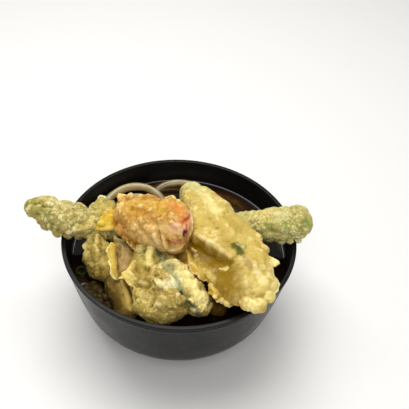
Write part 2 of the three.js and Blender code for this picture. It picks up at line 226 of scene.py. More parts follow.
def joined(skins):
    """Several surfaces as one set of points and faces."""
    starts = np.cumsum([0] + [len(skin.points) for skin in skins[:-1]])
    points = np.vstack([skin.points for skin in skins])
    quads = np.vstack([skin.quads + start for skin, start in zip(skins, starts)])
    tris = np.vstack([skin.tris + start for skin, start in zip(skins, starts)])
    return Skin(points, quads, tris)


def turned(profile, sectors):
    """A profile of [radius, z], from the axis round to the axis, carried round the bowl's axis."""
    angle = angles(sectors)
    profile = np.asarray(profile, float)[1:-1]
    rings = np.empty((len(profile), sectors, 3))
    rings[:, :, 0] = profile[:, :1] * np.cos(angle)
    rings[:, :, 1] = profile[:, :1] * np.sin(angle)
    rings[:, :, 2] = profile[:, 1:]
    return closed_skin(rings)


# ------------------------------------------------------------------ meshes
def to_frame(points):
    """Points in millimetres from the bowl's axis and the table, as metres in the part's frame."""
    return points * MM + np.array([AXIS_X, AXIS_Y, 0])


def mesh_of(name, skin):
    """A smooth-shaded mesh of a surface."""
    mesh = bpy.data.meshes.new(name)
    corners = np.concatenate([skin.quads.ravel(), skin.tris.ravel()])
    quad_starts = np.arange(len(skin.quads)) * 4
    tri_starts = skin.quads.size + np.arange(len(skin.tris)) * 3
    starts = np.concatenate([quad_starts, tri_starts])
    mesh.vertices.add(len(skin.points))
    mesh.vertices.foreach_set("co", to_frame(skin.points).ravel())
    mesh.loops.add(len(corners))
    mesh.loops.foreach_set("vertex_index", corners)
    mesh.polygons.add(len(starts))
    mesh.polygons.foreach_set("loop_start", starts)
    mesh.polygons.foreach_set("use_smooth", np.ones(len(starts), bool))
    mesh.update(calc_edges=True)
    return mesh


def add_number(mesh, name, values):
    """A number on each point of a mesh."""
    mesh.attributes.new(name, "FLOAT", "POINT").data.foreach_set("value", values)


def add_colour(mesh, name, values):
    """A colour with its strength on each point of a mesh."""
    layer = mesh.attributes.new(name, "FLOAT_COLOR", "POINT")
    layer.data.foreach_set("color", values.ravel())


def linked_object(name, mesh):
    """An object of a mesh, in the scene at the origin."""
    piece = bpy.data.objects.new(name, mesh)
    bpy.context.scene.collection.objects.link(piece)
    return piece


def finished(name, mesh, material, slot, *nodes):
    """A piece of the object: it rides on the one body and stands for the nodes named."""
    piece = linked_object(name, mesh)
    mesh.materials.append(material)
    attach(piece, "root")
    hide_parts(*nodes)
    return piece


def fused(skin, cell):
    """One skin of even small faces round all of a surface's overlapping shapes, by a voxel remesh."""
    piece = linked_object("soft_shape", mesh_of("soft_shape", skin))
    remesh = piece.modifiers.new("Fuse", "REMESH")
    remesh.mode = "VOXEL"
    remesh.voxel_size = cell * MM
    remesh.adaptivity = 0
    shaped = piece.evaluated_get(bpy.context.evaluated_depsgraph_get())
    mesh = shaped.to_mesh()
    places = np.empty(len(mesh.vertices) * 3)
    mesh.vertices.foreach_get("co", places)
    corners = np.empty(len(mesh.loops), int)
    mesh.loops.foreach_get("vertex_index", corners)
    faces = len(mesh.polygons)
    shaped.to_mesh_clear()
    old = piece.data
    bpy.data.objects.remove(piece)
    bpy.data.meshes.remove(old)
    if not faces or len(corners) != 4 * faces:
        raise RuntimeError("The voxel remesh did not give a skin of four-sided faces")
    points = (places.reshape(-1, 3) - np.array([AXIS_X, AXIS_Y, 0])) / MM
    return Skin(points, corners.reshape(-1, 4), NO_TRIS)


def edges_of(quads):
    """The pairs of neighbouring points of four-sided faces, each side counted once a face."""
    return np.vstack([quads[:, [k, (k + 1) % 4]] for k in range(4)])


def neighbour_means(points, edges):
    """The mean of each point's neighbours."""
    count = len(points)
    reached = np.bincount(edges[:, 0], minlength=count).astype(float)
    sums = [np.bincount(edges[:, 0], points[edges[:, 1], k], count) for k in range(3)]
    return np.column_stack(sums) / np.maximum(reached, 1)[:, None]


def smoothed(points, edges, rounds, inward=0.6, back=0.0):
    """Points drawn inward to their neighbours' mean, and pushed back by a share so they don't shrink."""
    for _ in range(rounds):
        points = points + inward * (neighbour_means(points, edges) - points)
        if back:
            points = points - back * (neighbour_means(points, edges) - points)
    return points


def normals_of(skin):
    """The direction out of the surface at each point, from the diagonals of the faces round it."""
    a, b, c, d = (skin.points[skin.quads[:, k]] for k in range(4))
    out = np.cross(c - a, d - b)
    total = np.zeros_like(skin.points)
    for corner, k in itertools.product(range(4), range(3)):
        total[:, k] += np.bincount(skin.quads[:, corner], out[:, k], len(skin.points))
    return unit(total)


def distance_to_line(points, line):
    """The distance from each point to the nearest place on a row of straight stretches."""
    if len(line) == 1:
        return np.linalg.norm(points - line[0], axis=1)
    best = np.full(len(points), 1e9)
    for start, stop in zip(line[:-1], line[1:]):
        along = stop - start
        share = np.clip((points - start) @ along / (along @ along), 0, 1)
        away = points - start - share[:, None] * along
        best = np.minimum(best, np.linalg.norm(away, axis=1))
    return best


# ------------------------------------------------------------------ shapes of batter
# A section with a low shelf on its left, a lip over the shelf and a broad top: rows of [angle in
# degrees, share of the half width, how much of the lip's place is added to it, share of the half height].
SHELF_SECTION = np.array(
    [[-90, 0, 0, -1], [-45, 0.75, 0, -0.7], [-8, 1, 0, -0.12], [6, 1, 0, 0.06], [20, 0.86, 0.14, 0.14],
     [34, 0.5, 0.5, 0.22], [44, 0.14, 0.88, 0.32], [50, 0.07, 0.98, 0.5], [56, 0.02, 1, 0.74],
     [62, -0.03, 1, 0.95], [69, -0.1, 0.99, 1.08], [78, -0.2, 0.92, 1.15], [100, -0.38, 0.5, 1.14],
     [130, -0.62, 0.1, 0.98], [155, -0.92, 0, 0.5], [180, -1, 0, 0], [225, -0.75, 0, -0.7],
     [270, 0, 0, -1]]
)


def shelf_shares(angle, lip):
    """The shelved section's shares of the half width and half height round each ring."""
    degrees = np.degrees(angle)
    degrees = np.where(degrees < -90, degrees + 360, degrees)
    plain, moved, raised = (np.interp(degrees, SHELF_SECTION[:, 0], SHELF_SECTION[:, k]) for k in (1, 2, 3))
    return plain + lip[:, None] * moved, raised + 0 * lip[:, None]


def pod(stations, dome, relief, rings=170, sectors=112):
    """A long rounded body on stations of [x, y, rise, half width, half height, shelf, lip].

    Each ring is an ellipse across a spline through the stations, its sizes eased from one station to
    the next and drawn in over the share `dome` at both ends as a quarter circle is. A ring turns into
    the shelved section by its station's shelf, with the lip at that share of the half width. Rounded
    bumps of relief's [size, height] are added outwards.
    """
    wide = np.array([list(row) + [0] * (7 - len(row)) for row in stations], float)
    line = table_points(stations)
    t = end_spaced(rings)
    angle = np.linspace(-math.pi, math.pi, sectors, endpoint=False)
    at = t * (len(wide) - 1)
    low = np.minimum(np.floor(at).astype(int), len(wide) - 2)
    share = eased(at - low)[:, None]
    half_width, half_height, shelf, lip = (wide[low] + (wide[low + 1] - wide[low]) * share)[:, 3:].T
    fullness = fullness_of(t, dome)
    side, up = level_frame(directions(line, t))
    across, raised = shelf_shares(angle, lip)
    across = np.cos(angle) + shelf[:, None] * (across - np.cos(angle))
    raised = np.sin(angle) + shelf[:, None] * (raised - np.sin(angle))
    across = (fullness * half_width)[:, None] * across
    raised = (fullness * half_height)[:, None] * raised
    out = across[..., None] * side[:, None, :] + raised[..., None] * up[:, None, :]
    rings_out = spline(line, t)[:, None, :] + out
    flat = rings_out.reshape(-1, 3)
    size, height = relief
    lift = height * (bumps(wandered(flat, 1.7 * size, 0.5 * size), size) - 0.6)
    flat = flat + lift[:, None] * unit(out).reshape(-1, 3)
    return closed_skin(flat.reshape(rings_out.shape))


def flap(root, edge, thickness, ruffle, waves, fray):
    """A thin sheet of batter between two splines, its root and its free edge.

    Going round a section, the share from root to edge is half of one less a cosine and the thickness
    follows the sine, thinner towards the free edge. The free edge ruffles up and down as a sine of
    the given waves, and fray is how far noise draws it in and out.
    """
    rings, sectors = 110, 56
    end_share, taper, phase = 0.07, 0.55, 0.8
    root, edge = table_points(root), table_points(edge)
    t = end_spaced(rings)
    angle = angles(sectors)
    inner, outer = spline(root, t), spline(edge, t)
    ahead = unit(directions(root, t) + directions(edge, t))
    across = outer - inner
    face = unit(np.cross(ahead, across))
    fullness = fullness_of(t, end_share)[:, None]
    jag = drift(outer, 5, 31) + 0.6 * drift(outer, 2.2, 32)
    share = (1 - np.cos(angle)) / 2
    middle = (inner + outer) / 2
    reach = (share - 0.5)[None, :] * fullness * (1 + fray * jag[:, None] * share)
    thick = np.sin(angle) * thickness / 2 * (1 - taper * share) * fullness
    points = middle[:, None, :] + reach[..., None] * across[:, None, :]
    points = points + thick[..., None] * face[:, None, :]
    points[..., 2] += ruffle * share * np.sin(2 * math.pi * waves * t + phase)[:, None]
    return closed_skin(points)


def lobe(place, sizes, relief=(4, 0.8), count=40):
    """A rounded blob: an ellipsoid of half sizes [x, y, z], with rounded bumps added outwards."""
    middle = table_points([place])[0]
    slant = np.linspace(0.04, math.pi - 0.04, count)[:, None]
    angle = angles(count)[None, :]
    out = np.stack(
        [np.sin(slant) * np.cos(angle), np.sin(slant) * np.sin(angle), np.cos(slant) + 0 * angle],
        axis=-1,
    )
    points = middle + out * np.array(sizes)
    flat, rays = points.reshape(-1, 3), out.reshape(-1, 3)
    size, height = relief
    flat = flat + (height * (bumps(flat, size) - 0.5))[:, None] * rays
    return closed_skin(flat.reshape(points.shape))


def lobes(rows):
    """Lobes on rows of [x, y, rise, half size x, half size y, half size z]."""
    return [lobe(row[:3], row[3:]) for row in rows]


def scallops(edge, count, size, number):
    """A row of small lobes along an edge, each moved and sized by repeatable numbers of its own."""
    places = spline(np.array(edge, float), (np.arange(count) + 0.5) / count)
    cells = np.column_stack([np.arange(count), np.zeros(count), np.zeros(count)])
    moves = np.column_stack([cell_number(cells, number + k) for k in range(4)]) - 0.5
    made = []
    for place, move in zip(places, moves):
        sizes = size * (1 + 1.1 * move[3]) * np.array([1, 1, 0.8])
        made.append(lobe(place + size * 0.9 * move[:3], sizes, (2.6, 0.9), 32))
    return made


# The relief added to a fused skin: the cell of the fusing, the rounds that soften the skin before the
# relief, the heights of the relief with their sizes, and the rounds that polish it after.
Crust = namedtuple("Crust", "cell soften swell fold fold_size lump lump_size crag crag_size grain polish")
# A crest stands above the same skin smoothed by these rounds, each with its gain, and the height in
# millimetres that takes the crest from 0 to 1.
CREST_ROUNDS = ((14, 0.75), (3, 0.9))
CREST_SPAN = 0.9
# How far the batter stays off the bowl.
BATTER_GAP = 0.2


def fading(points, line, radius, gain, uneven=1):
    """From 1 near a line down to 0 at a radius from it, eased; a higher gain keeps more of it at 1."""
    away = distance_to_line(points, table_points(line)) * uneven
    return eased(gain - gain * away / radius)


def patch_weights(points, patches):
    """The colour and strength that patches lay over each point, the later ones over the earlier."""
    colour = np.zeros((len(points), 3))
    cover = np.zeros(len(points))
    uneven = 1 + 0.3 * drift(points, 3.1, 41) + 0.22 * drift(points, 1.3, 42)
    for screen_colour, radius, strength, line in patches:
        weight = strength * fading(points, line, radius, 1.35, uneven)
        total = weight + cover * (1 - weight)
        own = (weight / np.maximum(total, 1e-6))[:, None]
        colour = own * np.array(tone(*screen_colour)) + (1 - own) * colour
        cover = total
    return np.column_stack([colour, cover])


def scaled_across(points, scale):
    """Points with their distance from the bowl's axis scaled."""
    return points * np.column_stack([scale, scale, np.ones(len(points))])


def inside_bowl(points):
    """Points drawn in to lie inside the bowl's wall."""
    radius = np.hypot(points[:, 0], points[:, 1])
    scale = np.minimum(1, (inner_radius(points[:, 2]) - BATTER_GAP) / np.maximum(radius, 1e-6))
    return scaled_across(points, scale)


def clear_of_bowl(points):
    """Points that would lie in the bowl's wall, moved over its lip, inside it or outside it."""
    radius = np.hypot(points[:, 0], points[:, 1])
    inner = inner_radius(np.minimum(points[:, 2], RIM_Z)) - BATTER_GAP
    outer, over = RIM_RADIUS + BATTER_GAP, RIM_Z + BATTER_GAP
    buried = (radius > inner) & (radius < outer) & (points[:, 2] < over)
    rise, inwards, outwards = over - points[:, 2], radius - inner, outer - radius
    up = buried & (rise <= inwards) & (rise <= outwards)
    aside = buried & ~up
    target = np.where(inwards < outwards, inner, outer)
    scale = np.where(aside, target / np.maximum(radius, 1e-6), 1)
    moved = scaled_across(points, scale)
    moved[up, 2] = over
    return moved


def crust_lift(points, crust, calms, ridges):
    """How far a crust stands out at each point.

    It is the sum of a broad swell, folds, rounded lumps, smaller crags and a fine grain. Folds, lumps
    and crags each come and go with a noise of their own, and calm places weaken all of them. A ridge
    adds its height times a bell curve of the distance to its line.
    """
    loose = wandered(wandered(points, 13, 4), 6, 1.8)
    near = wandered(points, 5, 1.3)
    lumpy, craggy, folded = (
        eased(0.55 + 0.8 * drift(points, size, number)) for size, number in ((12, 53), (9, 54), (8, 55))
    )
    lift = crust.fold * (0.4 + 0.6 * folded) * folds(loose, crust.fold_size)
    lift += crust.lump * lumpy * (bumps(loose, crust.lump_size) - 0.5)
    lift += crust.crag * (0.25 + 0.75 * craggy) * (bumps(loose, crust.crag_size) - 0.4)
    lift += crust.swell * drift(points, 9, 52) + crust.grain * drift(points, 1.0, 51)
    for radius, share, line in calms:
        lift *= 1 - share * fading(points, line, radius, 1.5)
    uneven = 1 + 0.35 * drift(points, 4, 57)
    for height, width, line in ridges:
        away = distance_to_line(near, table_points(line)) * uneven
        lift += height * np.exp(-((away / width) ** 2))
    return lift


def crusted(
    name, shapes, crust, material, slot, node, ridges=(), calms=(), patches=(), keep=clear_of_bowl
):
    """A fried piece: its shapes fused and softened, its crust raised on them, its colours laid on.

    Ridges are rows of (height, width, line), and one of negative height is a groove. Calms, where the
    relief is weaker, are rows of (radius, share, line). Patches of another colour are rows of (screen
    colour, radius, strength, line); some of them are painted shade, and some painted highlight.
    """
    skin = fused(joined(shapes), crust.cell)
    edges = edges_of(skin.quads)
    points = smoothed(skin.points, edges, crust.soften, 0.5, 0.5)
    out = normals_of(Skin(points, skin.quads, NO_TRIS))
    points = points + crust_lift(points, crust, calms, ridges)[:, None] * out
    points = keep(smoothed(points, edges, crust.polish))
    shape = Skin(points, skin.quads, NO_TRIS)
    out = normals_of(shape)
    above = sum(gain * (points - smoothed(points, edges, rounds)) for rounds, gain in CREST_ROUNDS)
    crest = np.einsum("ij,ij->i", above, out)
    mesh = mesh_of(name, shape)
    add_number(mesh, "crest", np.clip(0.5 + crest / CREST_SPAN, 0, 1))
    add_colour(mesh, "tint", patch_weights(points, patches))
    return finished(name, mesh, material, slot, node)


# ------------------------------------------------------------------ materials
class Nodes:
    """A material's nodes: it makes them, sets their plain sockets and links the rest."""

    def __init__(self, name):
        self.material = bpy.data.materials.new(name)
        self.material.use_nodes = True
        self.tree = self.material.node_tree
        self.shader = self.tree.nodes["Principled BSDF"]

    def add(self, kind, settings=None, **sockets):
        """A new node with its settings and sockets."""
        node = self.tree.nodes.new(kind)
        for key, value in (settings or {}).items():
            setattr(node, key, value)
        self.feed(node, **sockets)
        return node

    def feed(self, node, **sockets):
        """Each socket, named with _ for a space or n and its place, gets a value or a node's output."""
        for key, value in sockets.items():
            numbered = key[0] == "n" and key[1:].isdigit()
            socket = node.inputs[int(key[1:]) if numbered else key.replace("_", " ")]
            if isinstance(value, bpy.types.NodeSocket):
                self.tree.links.new(value, socket)
            else:
                socket.default_value = (*value, 1) if socket.type == "RGBA" else value

    def shaded(self, **sockets):
        """The material, with its shader's sockets set."""
        self.feed(self.shader, **sockets)
        return self.material

    def noise(self, scale, detail, where=None):
        """Noise of so many cells a metre, at the object's own coordinates."""
        where = where or self.here()
        found = self.add("ShaderNodeTexNoise", Vector=where, Scale=scale, Detail=detail)
        return found.outputs["Fac"]

    def here(self):
        """The object's own coordinates."""
        return self.add("ShaderNodeTexCoord").outputs["Object"]

    def attribute(self, name):
        """The outputs of a value kept on the mesh."""
        return self.add("ShaderNodeAttribute", {"attribute_name": name}).outputs

    def math(self, operation, first, second):
        node = self.add("ShaderNodeMath", {"operation": operation}, n0=first, n1=second)
        return node.outputs[0]

    def spread(self, value, low, high, to_low, to_high):
        """A value from low to high, spread over to_low to to_high and held at both ends."""
        node = self.add("ShaderNodeMapRange", Value=value)
        self.feed(node, From_Min=low, From_Max=high, To_Min=to_low, To_Max=to_high)
        return node.outputs[0]

    def cloud(self, scale, detail, *limits):
        """Noise spread between limits, as `spread` does."""
        return self.spread(self.noise(scale, detail), *limits)

    def blend(self, share, first, second):
        """Two colours mixed by a share of the second."""
        node = self.add("ShaderNodeMix", {"data_type": "RGBA"}, n0=share, n6=first, n7=second)
        return node.outputs[2]

    def ramp(self, value, stops):
        """A colour read off stops of (place, colour)."""
        node = self.add("ShaderNodeValToRGB", Fac=value)
        elements = node.color_ramp.elements
        while len(elements) < len(stops):
            elements.new(0.5)
        for element, (place, colour) in zip(elements, stops):
            element.position = place
            element.color = (*colour, 1)
        return node.outputs[0]

    def bump(self, height, strength, distance, below=None):
        """A bumped normal, laid over another one if given."""
        node = self.add("ShaderNodeBump", Height=height, Strength=strength, Distance=distance)
        if below:
            self.feed(node, Normal=below)
        return node.outputs[0]


def batter_material(name, look):
    """Fried batter: creases deep, partly painted shade; body colour between; crests pale, partly painted
    highlight.
    """
    nodes = Nodes(name)
    crest, tint = nodes.attribute("crest")["Fac"], nodes.attribute("tint")
    height = crest
    for scale, reach in ((75, 0.16), (260, 0.17 * look.mottle), (700, 0.14 * look.mottle)):
        height = nodes.math("ADD", height, nodes.cloud(scale, 2, 0.3, 0.7, -reach, reach))
    # Low places take the crease colour, partly painted shade; high ones the crest colour, partly painted
    # highlight.
    stops = [(0.04, look.crease), (0.4, look.body), (0.54, look.body), (0.9, look.crest)]
    colour = nodes.ramp(height, stops)
    mottle = nodes.cloud(42, 2, 0.38, 0.66, 0, 0.15)
    colour = nodes.blend(mottle, colour, look.crease)
    # Patches turn pale on high places: a painted highlight.
    pale = nodes.spread(height, 0.5, 1.0, 0, 0.3)
    patch = nodes.blend(pale, tint["Color"], look.crest)
    # Patches turn dark in low places: a painted shade.
    deep = nodes.spread(height, 0.0, 0.45, 0.35, 0)
    patch = nodes.blend(deep, patch, look.crease)
    colour = nodes.blend(tint["Alpha"], colour, patch)
    speck = nodes.cloud(900, 1, 0.72, 0.78, 0, 0.4)
    colour = nodes.blend(speck, colour, look.fleck)
    rough = nodes.cloud(420, 2, 0.3, 0.7, look.roughness - 0.12, look.roughness + 0.12)
    pits = nodes.bump(nodes.noise(1500, 2), 0.4, 0.0003)
    pits = nodes.bump(nodes.noise(520, 3), 0.5, 0.0008, pits)
    shine = nodes.spread(height, 0.5, 0.95, 0.08, 0.4)
    return nodes.shaded(
        Base_Color=colour, Roughness=rough, Normal=pits, Specular_IOR_Level=shine,
        Subsurface_Weight=look.softness, Subsurface_Scale=0.003, Subsurface_Radius=(1.0, 0.62, 0.28),
        Coat_Weight=look.oil, Coat_Roughness=0.16,
    )


def bowl_material(look):
    """Glossy black moulded plastic: slight waviness in the shine and faint fine wear."""
    nodes = Nodes("black_lacquer")
    wear = nodes.cloud(60, 4, 0.3, 0.75, look.roughness - 0.05, look.roughness + 0.09)
    shade = nodes.cloud(25, 3, 0.3, 0.7, 0, 1)
    colour = nodes.blend(shade, look.colour, 2.0 * Vector(look.colour))
    fine = nodes.bump(nodes.noise(900, 2), 0.04, 0.0002)
    return nodes.shaded(Base_Color=colour, Roughness=wear, Normal=fine, IOR=1.4, Specular_IOR_Level=0.22)


def broth_material(look):
    """Dark soy broth: near black where deep, brown where noodles lie just under its surface."""
    nodes = Nodes("soy_broth")
    shallow = nodes.attribute("shallow")["Fac"]
    depth = nodes.math("ADD", shallow, nodes.cloud(90, 3, 0.3, 0.7, -0.15, 0.15))
    colour = nodes.ramp(depth, [(0.15, look.deep), (0.5, look.middle), (0.95, look.shallow)])
    ripple = nodes.bump(nodes.noise(120, 2), 0.12, 0.0006)
    return nodes.shaded(
        Base_Color=colour, Roughness=0.06, Normal=ripple, IOR=1.34, Coat_Weight=0.25, Coat_Roughness=0.03
    )


def noodle_material(look):
    """Wet wheat noodle: milky and a little see-through, browner down by the broth."""
    nodes = Nodes("wet_noodle")
    place = nodes.here()
    height = nodes.add("ShaderNodeSeparateXYZ", Vector=place).outputs["Z"]
    level = BROTH_Z * MM
    soaked = nodes.spread(height, level - 0.001, level + 0.009, 1, 0)
    cloud = nodes.spread(nodes.noise(160, 3, place), 0.3, 0.7, -0.2, 0.2)
    soaked = nodes.math("ADD", soaked, cloud)
    colour = nodes.blend(soaked, look.colour, look.soaked)
    grain = nodes.bump(nodes.noise(700, 2, place), 0.12, 0.0003)
    return nodes.shaded(
        Base_Color=colour, Roughness=0.22, Normal=grain, IOR=1.42, Subsurface_Weight=0.5,
        Subsurface_Scale=0.003, Subsurface_Radius=(1.0, 0.75, 0.45), Coat_Weight=0.35, Coat_Roughness=0.12,
    )


def onion_material(look):
    """Fresh spring onion: pale green flesh, greener at its skin."""
    nodes = Nodes("spring_onion")
    mottle = nodes.cloud(400, 2, 0.35, 0.65, 0, 1)
    colour = nodes.blend(mottle, look.flesh, look.skin)
    return nodes.shaded(
        Base_Color=colour, Roughness=0.6, Specular_IOR_Level=0.1, Subsurface_Weight=0.3,
        Subsurface_Scale=0.002, Subsurface_Radius=(0.5, 1.0, 0.3),
    )


# ------------------------------------------------------------------ the bowl's wall
RIM_RADIUS = (BOWL_HIGH[0] - BOWL_LOW[0]) / 2 / MM
LIP_HEIGHT = 3.2
LIP_OVERHANG = 0.9
LIP_WIDTH = 3.3
WALL_THICKNESS = 2.3
WALL_SLOPE = 0.15
WALL_BEND = 0.0012
SHOULDER_Z = 36
FOOT_RADIUS = 43
FOOT_HEIGHT = 6.5
FOOT_RING = 7
RECESS = 2
FLOOR_RADIUS = 31
FLOOR_Z = 6.8
BROTH_DROP = 19.2
BROTH_Z = RIM_Z - BROTH_DROP
# How many sectors the bowl and the broth are turned in.
SECTORS = 256


def wall_radius(z):
    """The outside of the wall: its radius falls with the drop below the lip and with its square."""
    drop = RIM_Z - LIP_HEIGHT - z
    return RIM_RADIUS - LIP_OVERHANG - WALL_SLOPE * drop - WALL_BEND * drop * drop


def inner_radius(z):
    """The inside of the wall at a height."""
    return wall_radius(z) - WALL_THICKNESS


def lower_curve(inset, end_radius, end_z, count):
    """The turn from the wall to the foot: a cubic Bezier curve, from the shoulder down."""
    fall, spread, lift = 15, 20, 4.5
    top = wall_radius(SHOULDER_Z) - inset
    slope = wall_radius(SHOULDER_Z) - wall_radius(SHOULDER_Z - 1)
    a, b = np.array([top, SHOULDER_Z]), np.array([top - slope * fall, SHOULDER_Z - fall])
    c, d = np.array([end_radius + spread, end_z + lift]), np.array([end_radius, end_z])
    t = np.linspace(0, 1, count)[:, None]
    return (1 - t) ** 3 * a + 3 * t * (1 - t) ** 2 * b + 3 * t**2 * (1 - t) * c + t**3 * d


def rounded(corners, radius, count=6):
    """A row of points with each inner corner replaced by a curve that starts a radius before it."""
    corners = np.asarray(corners, float)
    made = [corners[:1]]
    t = np.linspace(0, 1, count)[:, None]
    for before, corner, after in zip(corners[:-2], corners[1:-1], corners[2:]):
        start = corner + unit(before - corner) * min(radius, np.linalg.norm(before - corner) / 2)
        stop = corner + unit(after - corner) * min(radius, np.linalg.norm(after - corner) / 2)
        made.append((1 - t) ** 2 * start + 2 * t * (1 - t) * corner + t**2 * stop)
    return np.vstack(made + [corners[-1:]])


def bowl_profile():
    """The bowl's section from the axis under the foot, up the outside, over the lip and down inside."""
    lip_z = RIM_Z - LIP_HEIGHT
    foot_inside = FOOT_RADIUS - FOOT_RING
    foot = [(0, RECESS), (foot_inside - 1.5, RECESS), (foot_inside, 0), (FOOT_RADIUS - 1, 0)]
    heights = np.linspace(SHOULDER_Z, lip_z - 1.4, 14)[1:]
    outside = np.column_stack([wall_radius(heights), heights])
    groove = wall_radius(lip_z)
    inside_lip = RIM_RADIUS - LIP_WIDTH
    lip = [
        (groove, lip_z - 1.2),
        (groove - 0.5, lip_z - 0.7),
        (groove - 0.4, lip_z + 0.1),
        (RIM_RADIUS, lip_z + 0.5),
        (RIM_RADIUS, RIM_Z),
        (inside_lip, RIM_Z),
        (inner_radius(lip_z - 2), lip_z - 2),
    ]
    depths = np.linspace(lip_z - 2, SHOULDER_Z, 16)[1:-1]
    inside = np.column_stack([inner_radius(depths), depths])
    low_inside = lower_curve(WALL_THICKNESS, FLOOR_RADIUS, FLOOR_Z + 0.6, 14)
    return np.vstack(
        [
            rounded(foot + [(FOOT_RADIUS, 1)], 0.7),
            lower_curve(0, FOOT_RADIUS, FOOT_HEIGHT, 14)[::-1],
            outside,
            rounded(lip, 0.75),
            inside,
            low_inside,
            [(0, FLOOR_Z)],
        ]
    )


# ------------------------------------------------------------------ noodles
NOODLE_RADIUS = 3.4
DEEP = -31
STRANDS = [
    # the loops that show behind the fried pieces, on the left
    [[-58, 24, DEEP], [-64, 35, -20], [-65, 46, -15], [-57, 57.5, -13], [-46, 64.5, -13],
     [-33, 65, -14], [-22, 59, -17], [-14, 48, -23], [-10, 42, DEEP]],
    [[-48, 30, DEEP], [-56, 40, -20], [-53, 49, -17.5], [-44, 55, -16.5], [-34, 56, -18],
     [-26, 49, -23], [-20, 42, DEEP]],
    # along the back wall
    [[-32, 66, DEEP], [-26, 71, -22], [-17, 76.5, -18.5], [-4, 78.5, -17], [9, 76, -18],
     [18, 69, -21], [22, 62, DEEP]],
    # back right, just under the broth
    [[6, 54, DEEP], [14, 62, -24], [26, 67, -23.5], [39, 64, -23.5], [50, 55, -24],
     [55, 44, -26], [53, 36, DEEP]],
    [[22, 46, DEEP], [29, 52, -23], [38, 52, -22.4], [45, 44, -22.8], [46, 32, -25], [42, 25, DEEP]],
    # over the mound
    [[-38, 30, DEEP], [-29, 38, -19], [-14, 43, -13.5], [2, 41, -13], [16, 34, -15], [28, 30, DEEP]],
    [[-42, 12, DEEP], [-33, 20, -13], [-18, 27, -6], [0, 24, -5], [20, 24, -12],
     [34, 26, DEEP]],
    [[-40, 42, DEEP], [-28, 48, -22], [-14, 53, -18.5], [0, 52, -17.5], [12, 46, -18], [22, 38, DEEP]],
    [[-44, 22, DEEP], [-34, 30, -17], [-20, 35, -10], [-6, 34, -9], [8, 30, -10], [24, 28, DEEP]],
]


def swept(rows, radius, sides=20, step=1.6):
    """One noodle: a slightly squared ring carried along a spline, thicker and thinner as it goes.

    The ring's radius is the noodle's times one plus a small cosine of four times the angle, with its
    side taken level across the path.
    """
    square, uneven, twist = 0.045, 0.06, 0.5
    line = table_points(rows)
    length = np.linalg.norm(np.diff(spline(line, np.linspace(0, 1, 60)), axis=0), axis=1).sum()
    t = np.linspace(0.001, 0.999, int(length / step))
    angle = angles(sides)
    centre = spline(line, t)
    side, up = level_frame(directions(line, t))
    turn = twist * drift(centre, 23, 61)[:, None]
    ring = 1 + square * np.cos(4 * (angle[None, :] + turn))
    ring = ring * (1 + uneven * drift(centre, 9, 62)[:, None]) * radius
    out = np.cos(angle)[None, :, None] * side[:, None, :] + np.sin(angle)[None, :, None] * up[:, None, :]
    return closed_skin(centre[:, None, :] + ring[..., None] * out)


# ------------------------------------------------------------------ settings
def number(name, description, default, **kind):
    """A number that a user would change, with its unit or subtype where one fits."""
    return FloatProperty(name=name, description=description, default=default, **kind)


def colour(name, description, *default):
    """A colour that a user would change, given as screen values."""
    return FloatVectorProperty(
        name=name, description=description, default=tone(*default), subtype="COLOR", size=3
    )


def batter_settings(
    label, crest, body, crease, fleck, mottle=1.0, roughness=0.5, softness=0.35, oil=0.05
):
    """The settings of one kind of batter as a PropertyGroup, its colours given as screen values."""
    fields = {
        # The crest colour is partly a painted highlight and the crease colour partly a painted shade.
        "crest": colour("Crest", "Pale colour of the highest batter", *crest),
        "body": colour("Body", "Main colour of the batter", *body),
        "crease": colour("Crease", "Deep colour between the lumps", *crease),
        "fleck": colour("Fleck", "Colour of the few darker flecks", *fleck),
        "mottle": number("Mottle", "How strongly fine noise mixes the colours", mottle, subtype="FACTOR"),
        "roughness": number("Roughness", "Middle roughness of the crust", roughness, subtype="FACTOR"),
        "softness": number("Softness", "Share of light let into the batter", softness, subtype="FACTOR"),
        "oil": number("Oil", "Strength of the oily sheen", oil, subtype="FACTOR"),
    }
    return type(label, (bpy.types.PropertyGroup,), {"__annotations__": fields})


UdonGreenBatter = batter_settings(
    "UdonGreenBatter", (238, 225, 166), (177, 162, 89), (108, 92, 34), (100, 106, 36)
)
UdonStalkBatter = batter_settings(
    "UdonStalkBatter", (228, 222, 166), (190, 179, 108), (146, 134, 66), (96, 120, 36), mottle=0.6
)
UdonGoldenBatter = batter_settings(
    "UdonGoldenBatter", (238, 204, 130), (190, 142, 58), (142, 92, 28), (150, 84, 30), mottle=0.8
)
UdonPaleBatter = batter_settings(
    "UdonPaleBatter", (250, 232, 164), (203, 177, 91), (132, 102, 28), (140, 104, 30), mottle=0.45
)
UdonLeafyBatter = batter_settings(
    "UdonLeafyBatter", (244, 224, 148), (182, 156, 78), (112, 90, 32), (96, 90, 40), mottle=0.75
)
UdonFoldedBatter = batter_settings(
    "UdonFoldedBatter", (214, 194, 116), (154, 130, 58), (96, 74, 22), (84, 64, 22), mottle=0.6
)
UdonSoakedBatter = batter_settings(
    "UdonSoakedBatter", (74, 57, 16), (50, 38, 10), (22, 15, 3), (18, 12, 3),
    mottle=0.6, roughness=0.75, softness=0.2, oil=0.0,
)
UdonStripBatter = batter_settings(
    "UdonStripBatter", (128, 94, 22), (98, 68, 10), (56, 38, 4), (40, 26, 3), softness=0.25
)


class UdonBowlLook(bpy.types.PropertyGroup):
    colour: colour("Colour", "Black of the bowl", 15, 14, 14)
    roughness: number("Roughness", "Middle roughness of the bowl's gloss", 0.28, subtype="FACTOR")


